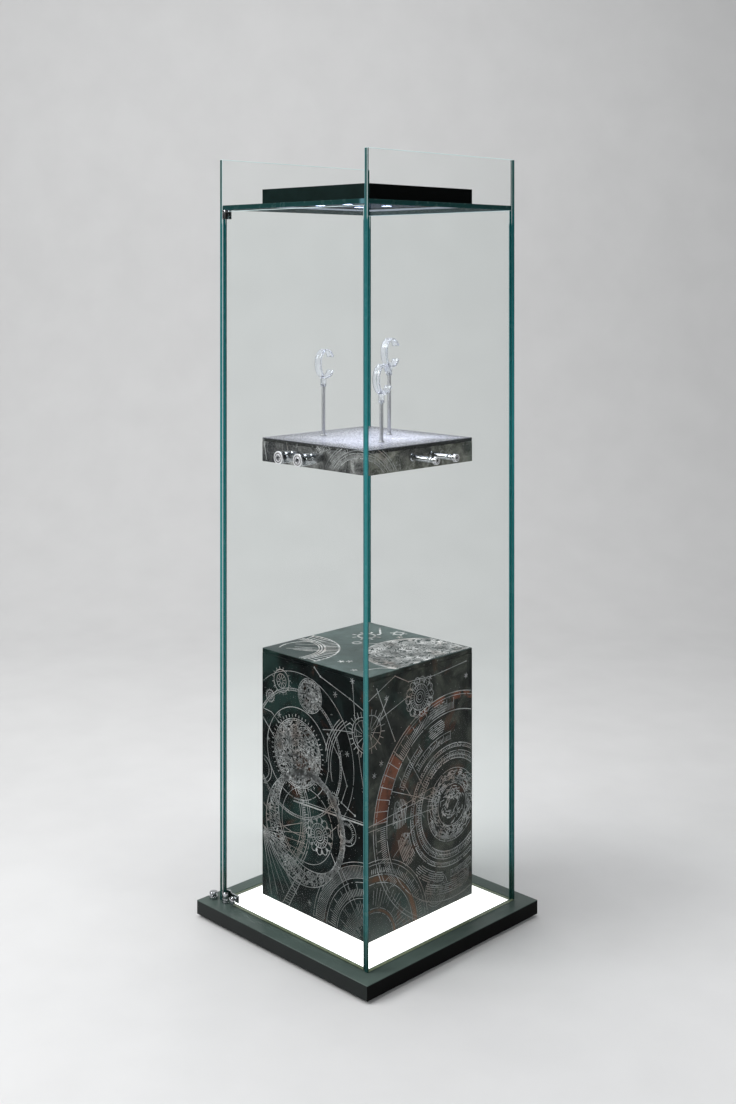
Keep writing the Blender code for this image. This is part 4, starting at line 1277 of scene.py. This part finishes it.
def pillar_faces():
    low, high = PILLAR_LOW, PILLAR_TOP
    front, right = upright_face("front", low, high, 11, 1.15), upright_face("right", low, high, 23, 1.3)
    rear, left = upright_face("rear", low, high, 31, 1.3), upright_face("left", low, high, 37, 1.3)
    front_lines(front)
    front.done("line_work_front")
    right_lines(right)
    right.done("line_work_right", "line_side")
    plain_lines(rear, (0.255, 0.215), 1.0, (0.075, 0.43))
    rear.done("line_work_rear")
    plain_lines(left, (0.175, 0.36), 0.72, (0.075, 0.085))
    left.done("line_work_left")
    top = Lines((LEFT, LEFT, high), (1, 0, 0), (0, 1, 0), 2 * HALF, 2 * HALF, 41, 1.5)
    top_lines(top)
    top.done("line_work_top", "line_top")


def shelf_faces():
    """Parts of rings round a centre below the shelf, and on the front a few short strokes as well."""
    for side, seed, c in (("front", 51, (0.3, -0.052)), ("right", 53, (-0.02, -0.052))):
        face = upright_face(side, SHELF_LOW, SHELF_TOP, seed, 1.5)
        face.arcs(c, [(r, 0.0008) for r in (0.118, 0.113, 0.101, 0.096, 0.086)], 20, 150, 0.05)
        face.band(c, 0.1015, 0.1125, 20, 150, 0.0007, 0.0034)
        face.band(c, 0.0865, 0.0955, 20, 150, 0.0006, 0.0034)
        if side == "front":
            face.line((0.004, 0.049), (0.014, 0.004), 0.001)
            strokes = around((0.2, 0.02), 0.03, 60, 200)
            face.hatch(strokes, lambda t: 0.012, 60, (0.003, 0.009), (0.0005, 0.0009))
            face.path([(0.078, 0.048), (0.083, 0.03), (0.08, 0.004)], 0.0007)
            face.path([(0.112, 0.047), (0.106, 0.026), (0.112, 0.01)], 0.0006)
        face.dust(40, 0.0003, 0.0007)
        face.done(f"line_work_shelf_{side}", "line_side", "stone")


pillar_faces()
shelf_faces()


# ---------------------------------------------------------------- lamps
def lamps():
    """The lamp plate with its six rimmed lenses."""
    bm = bmesh.new()
    low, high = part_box("spot_plate")
    rim = soften([(0.0112, 0), (0.0138, 0), (0.0138, 0.0016), (0.0112, 0.0016)], 0.0003, True)
    lens = [(0, 0.0003), (0.006, 0.0002), (0.011, 0), (0.011, 0.0012), (0, 0.0012)]
    for x in (-0.085, 0.0, 0.085):
        for y in (-0.06, 0.06):
            at = (x, y, low.z + 0.0001)
            lathe(bm, rim, at, "+Z", 48)
            lathe(bm, lens, at, "+Z", 48, [1] * 4)
    slab(bm, (low.x, low.y, low.z + 0.0018), high, 2, 0.0004)
    piece("lamp_plate", bm, ("chrome", "lamp", "lamp_ground"), "case", 30, ["spot_plate"])


lamps()


# ---------------------------------------------------------------- stage, light and camera
def stage():
    """A pale floor that sweeps up into a wall behind the object."""
    s = Shader("floor_plain")
    paper = s.surface(s.shades(s.noise(6.0, 3.0), 0.72, 0.75), 0.75)
    half, wall = 9.0, 7.0  # half the floor's width, and the wall's height
    back, bend = 2.2, 1.4  # where the sweep starts, and its radius
    profile = [(-half, 0.0), (back, 0.0)]
    for step in range(1, 13):
        turn = math.pi / 2 * step / 12
        profile.append((back + bend * math.sin(turn), bend - bend * math.cos(turn)))
    profile.append((back + bend, wall))
    away, right = Vector((-1, 1, 0)).normalized(), Vector((1, 1, 0)).normalized()
    bm = bmesh.new()
    rows = []
    for depth, height in profile:
        place = away * depth + Vector((0, 0, height))
        rows.append([bm.verts.new(place + right * side) for side in (-half, half)])
    for one, two in zip(rows, rows[1:]):
        bm.faces.new((*one, *two[::-1]))
    floor = placed("studio_floor", bm)
    floor.data.materials.append(paper)
    floor.data.shade_smooth()


def area_light(name, at, look, size, power, colour=(1, 1, 1)):
    lamp = bpy.data.lights.new(name, "AREA")
    lamp.shape = "RECTANGLE"
    lamp.size, lamp.size_y = size
    lamp.energy = power
    lamp.color = colour
    made = placed(name, lamp)
    made.location = at
    made.rotation_euler = (Vector(look) - Vector(at)).to_track_quat("-Z", "Y").to_euler()
    return lamp


def lights():
    """A dim sky, large soft lights round the object and one under the roof."""
    world = bpy.data.worlds.new("studio")
    bpy.context.scene.world = world
    world.use_nodes = True
    background = world.node_tree.nodes["Background"]
    background.inputs["Color"].default_value = (0.8, 0.84, 0.88, 1.0)
    background.inputs["Strength"].default_value = 0.1
    middle = (0, 0, 0.8)
    area_light("key", (-1.8, -3.2, 3.4), (-0.2, 0, 0.3), (2.2, 1.6), 120.0)
    area_light("overhead", (-0.3, 0.0, 4.4), (-0.3, 0, 0), (2.2, 2.2), 100.0)
    area_light("fill", (3.6, 0.8, 2.6), middle, (1.6, 2.0), 16.0)
    area_light("strip_door_side", (-0.3, -2.9, 1.5), middle, (0.3, 2.2), 14.0)
    area_light("strip_right_side", (2.9, 0.3, 1.5), middle, (0.3, 2.2), 14.0)
    inside = area_light("under_roof", (0.0, 0.0, 1.521), (0, 0, 0), (0.26, 0.26), 0.75, (0.88, 0.91, 1.0))
    inside.spread = math.radians(95)
    bpy.context.scene.view_settings.view_transform = "Standard"


def camera():
    """A level camera at eye height, 45 degrees round from the door. A shift keeps the uprights parallel."""
    data = bpy.data.cameras.new("camera")
    data.lens, data.sensor_width = 46.0, 36.0
    data.shift_x, data.shift_y = 0.0007, -0.2554
    distance, eye = 3.045, 1.395
    made = placed("camera", data)
    made.location = (distance * math.sqrt(0.5), -distance * math.sqrt(0.5), eye)
    made.rotation_euler = (math.pi / 2, 0, math.pi / 4)
    bpy.context.scene.camera = made


stage()
lights()
camera()
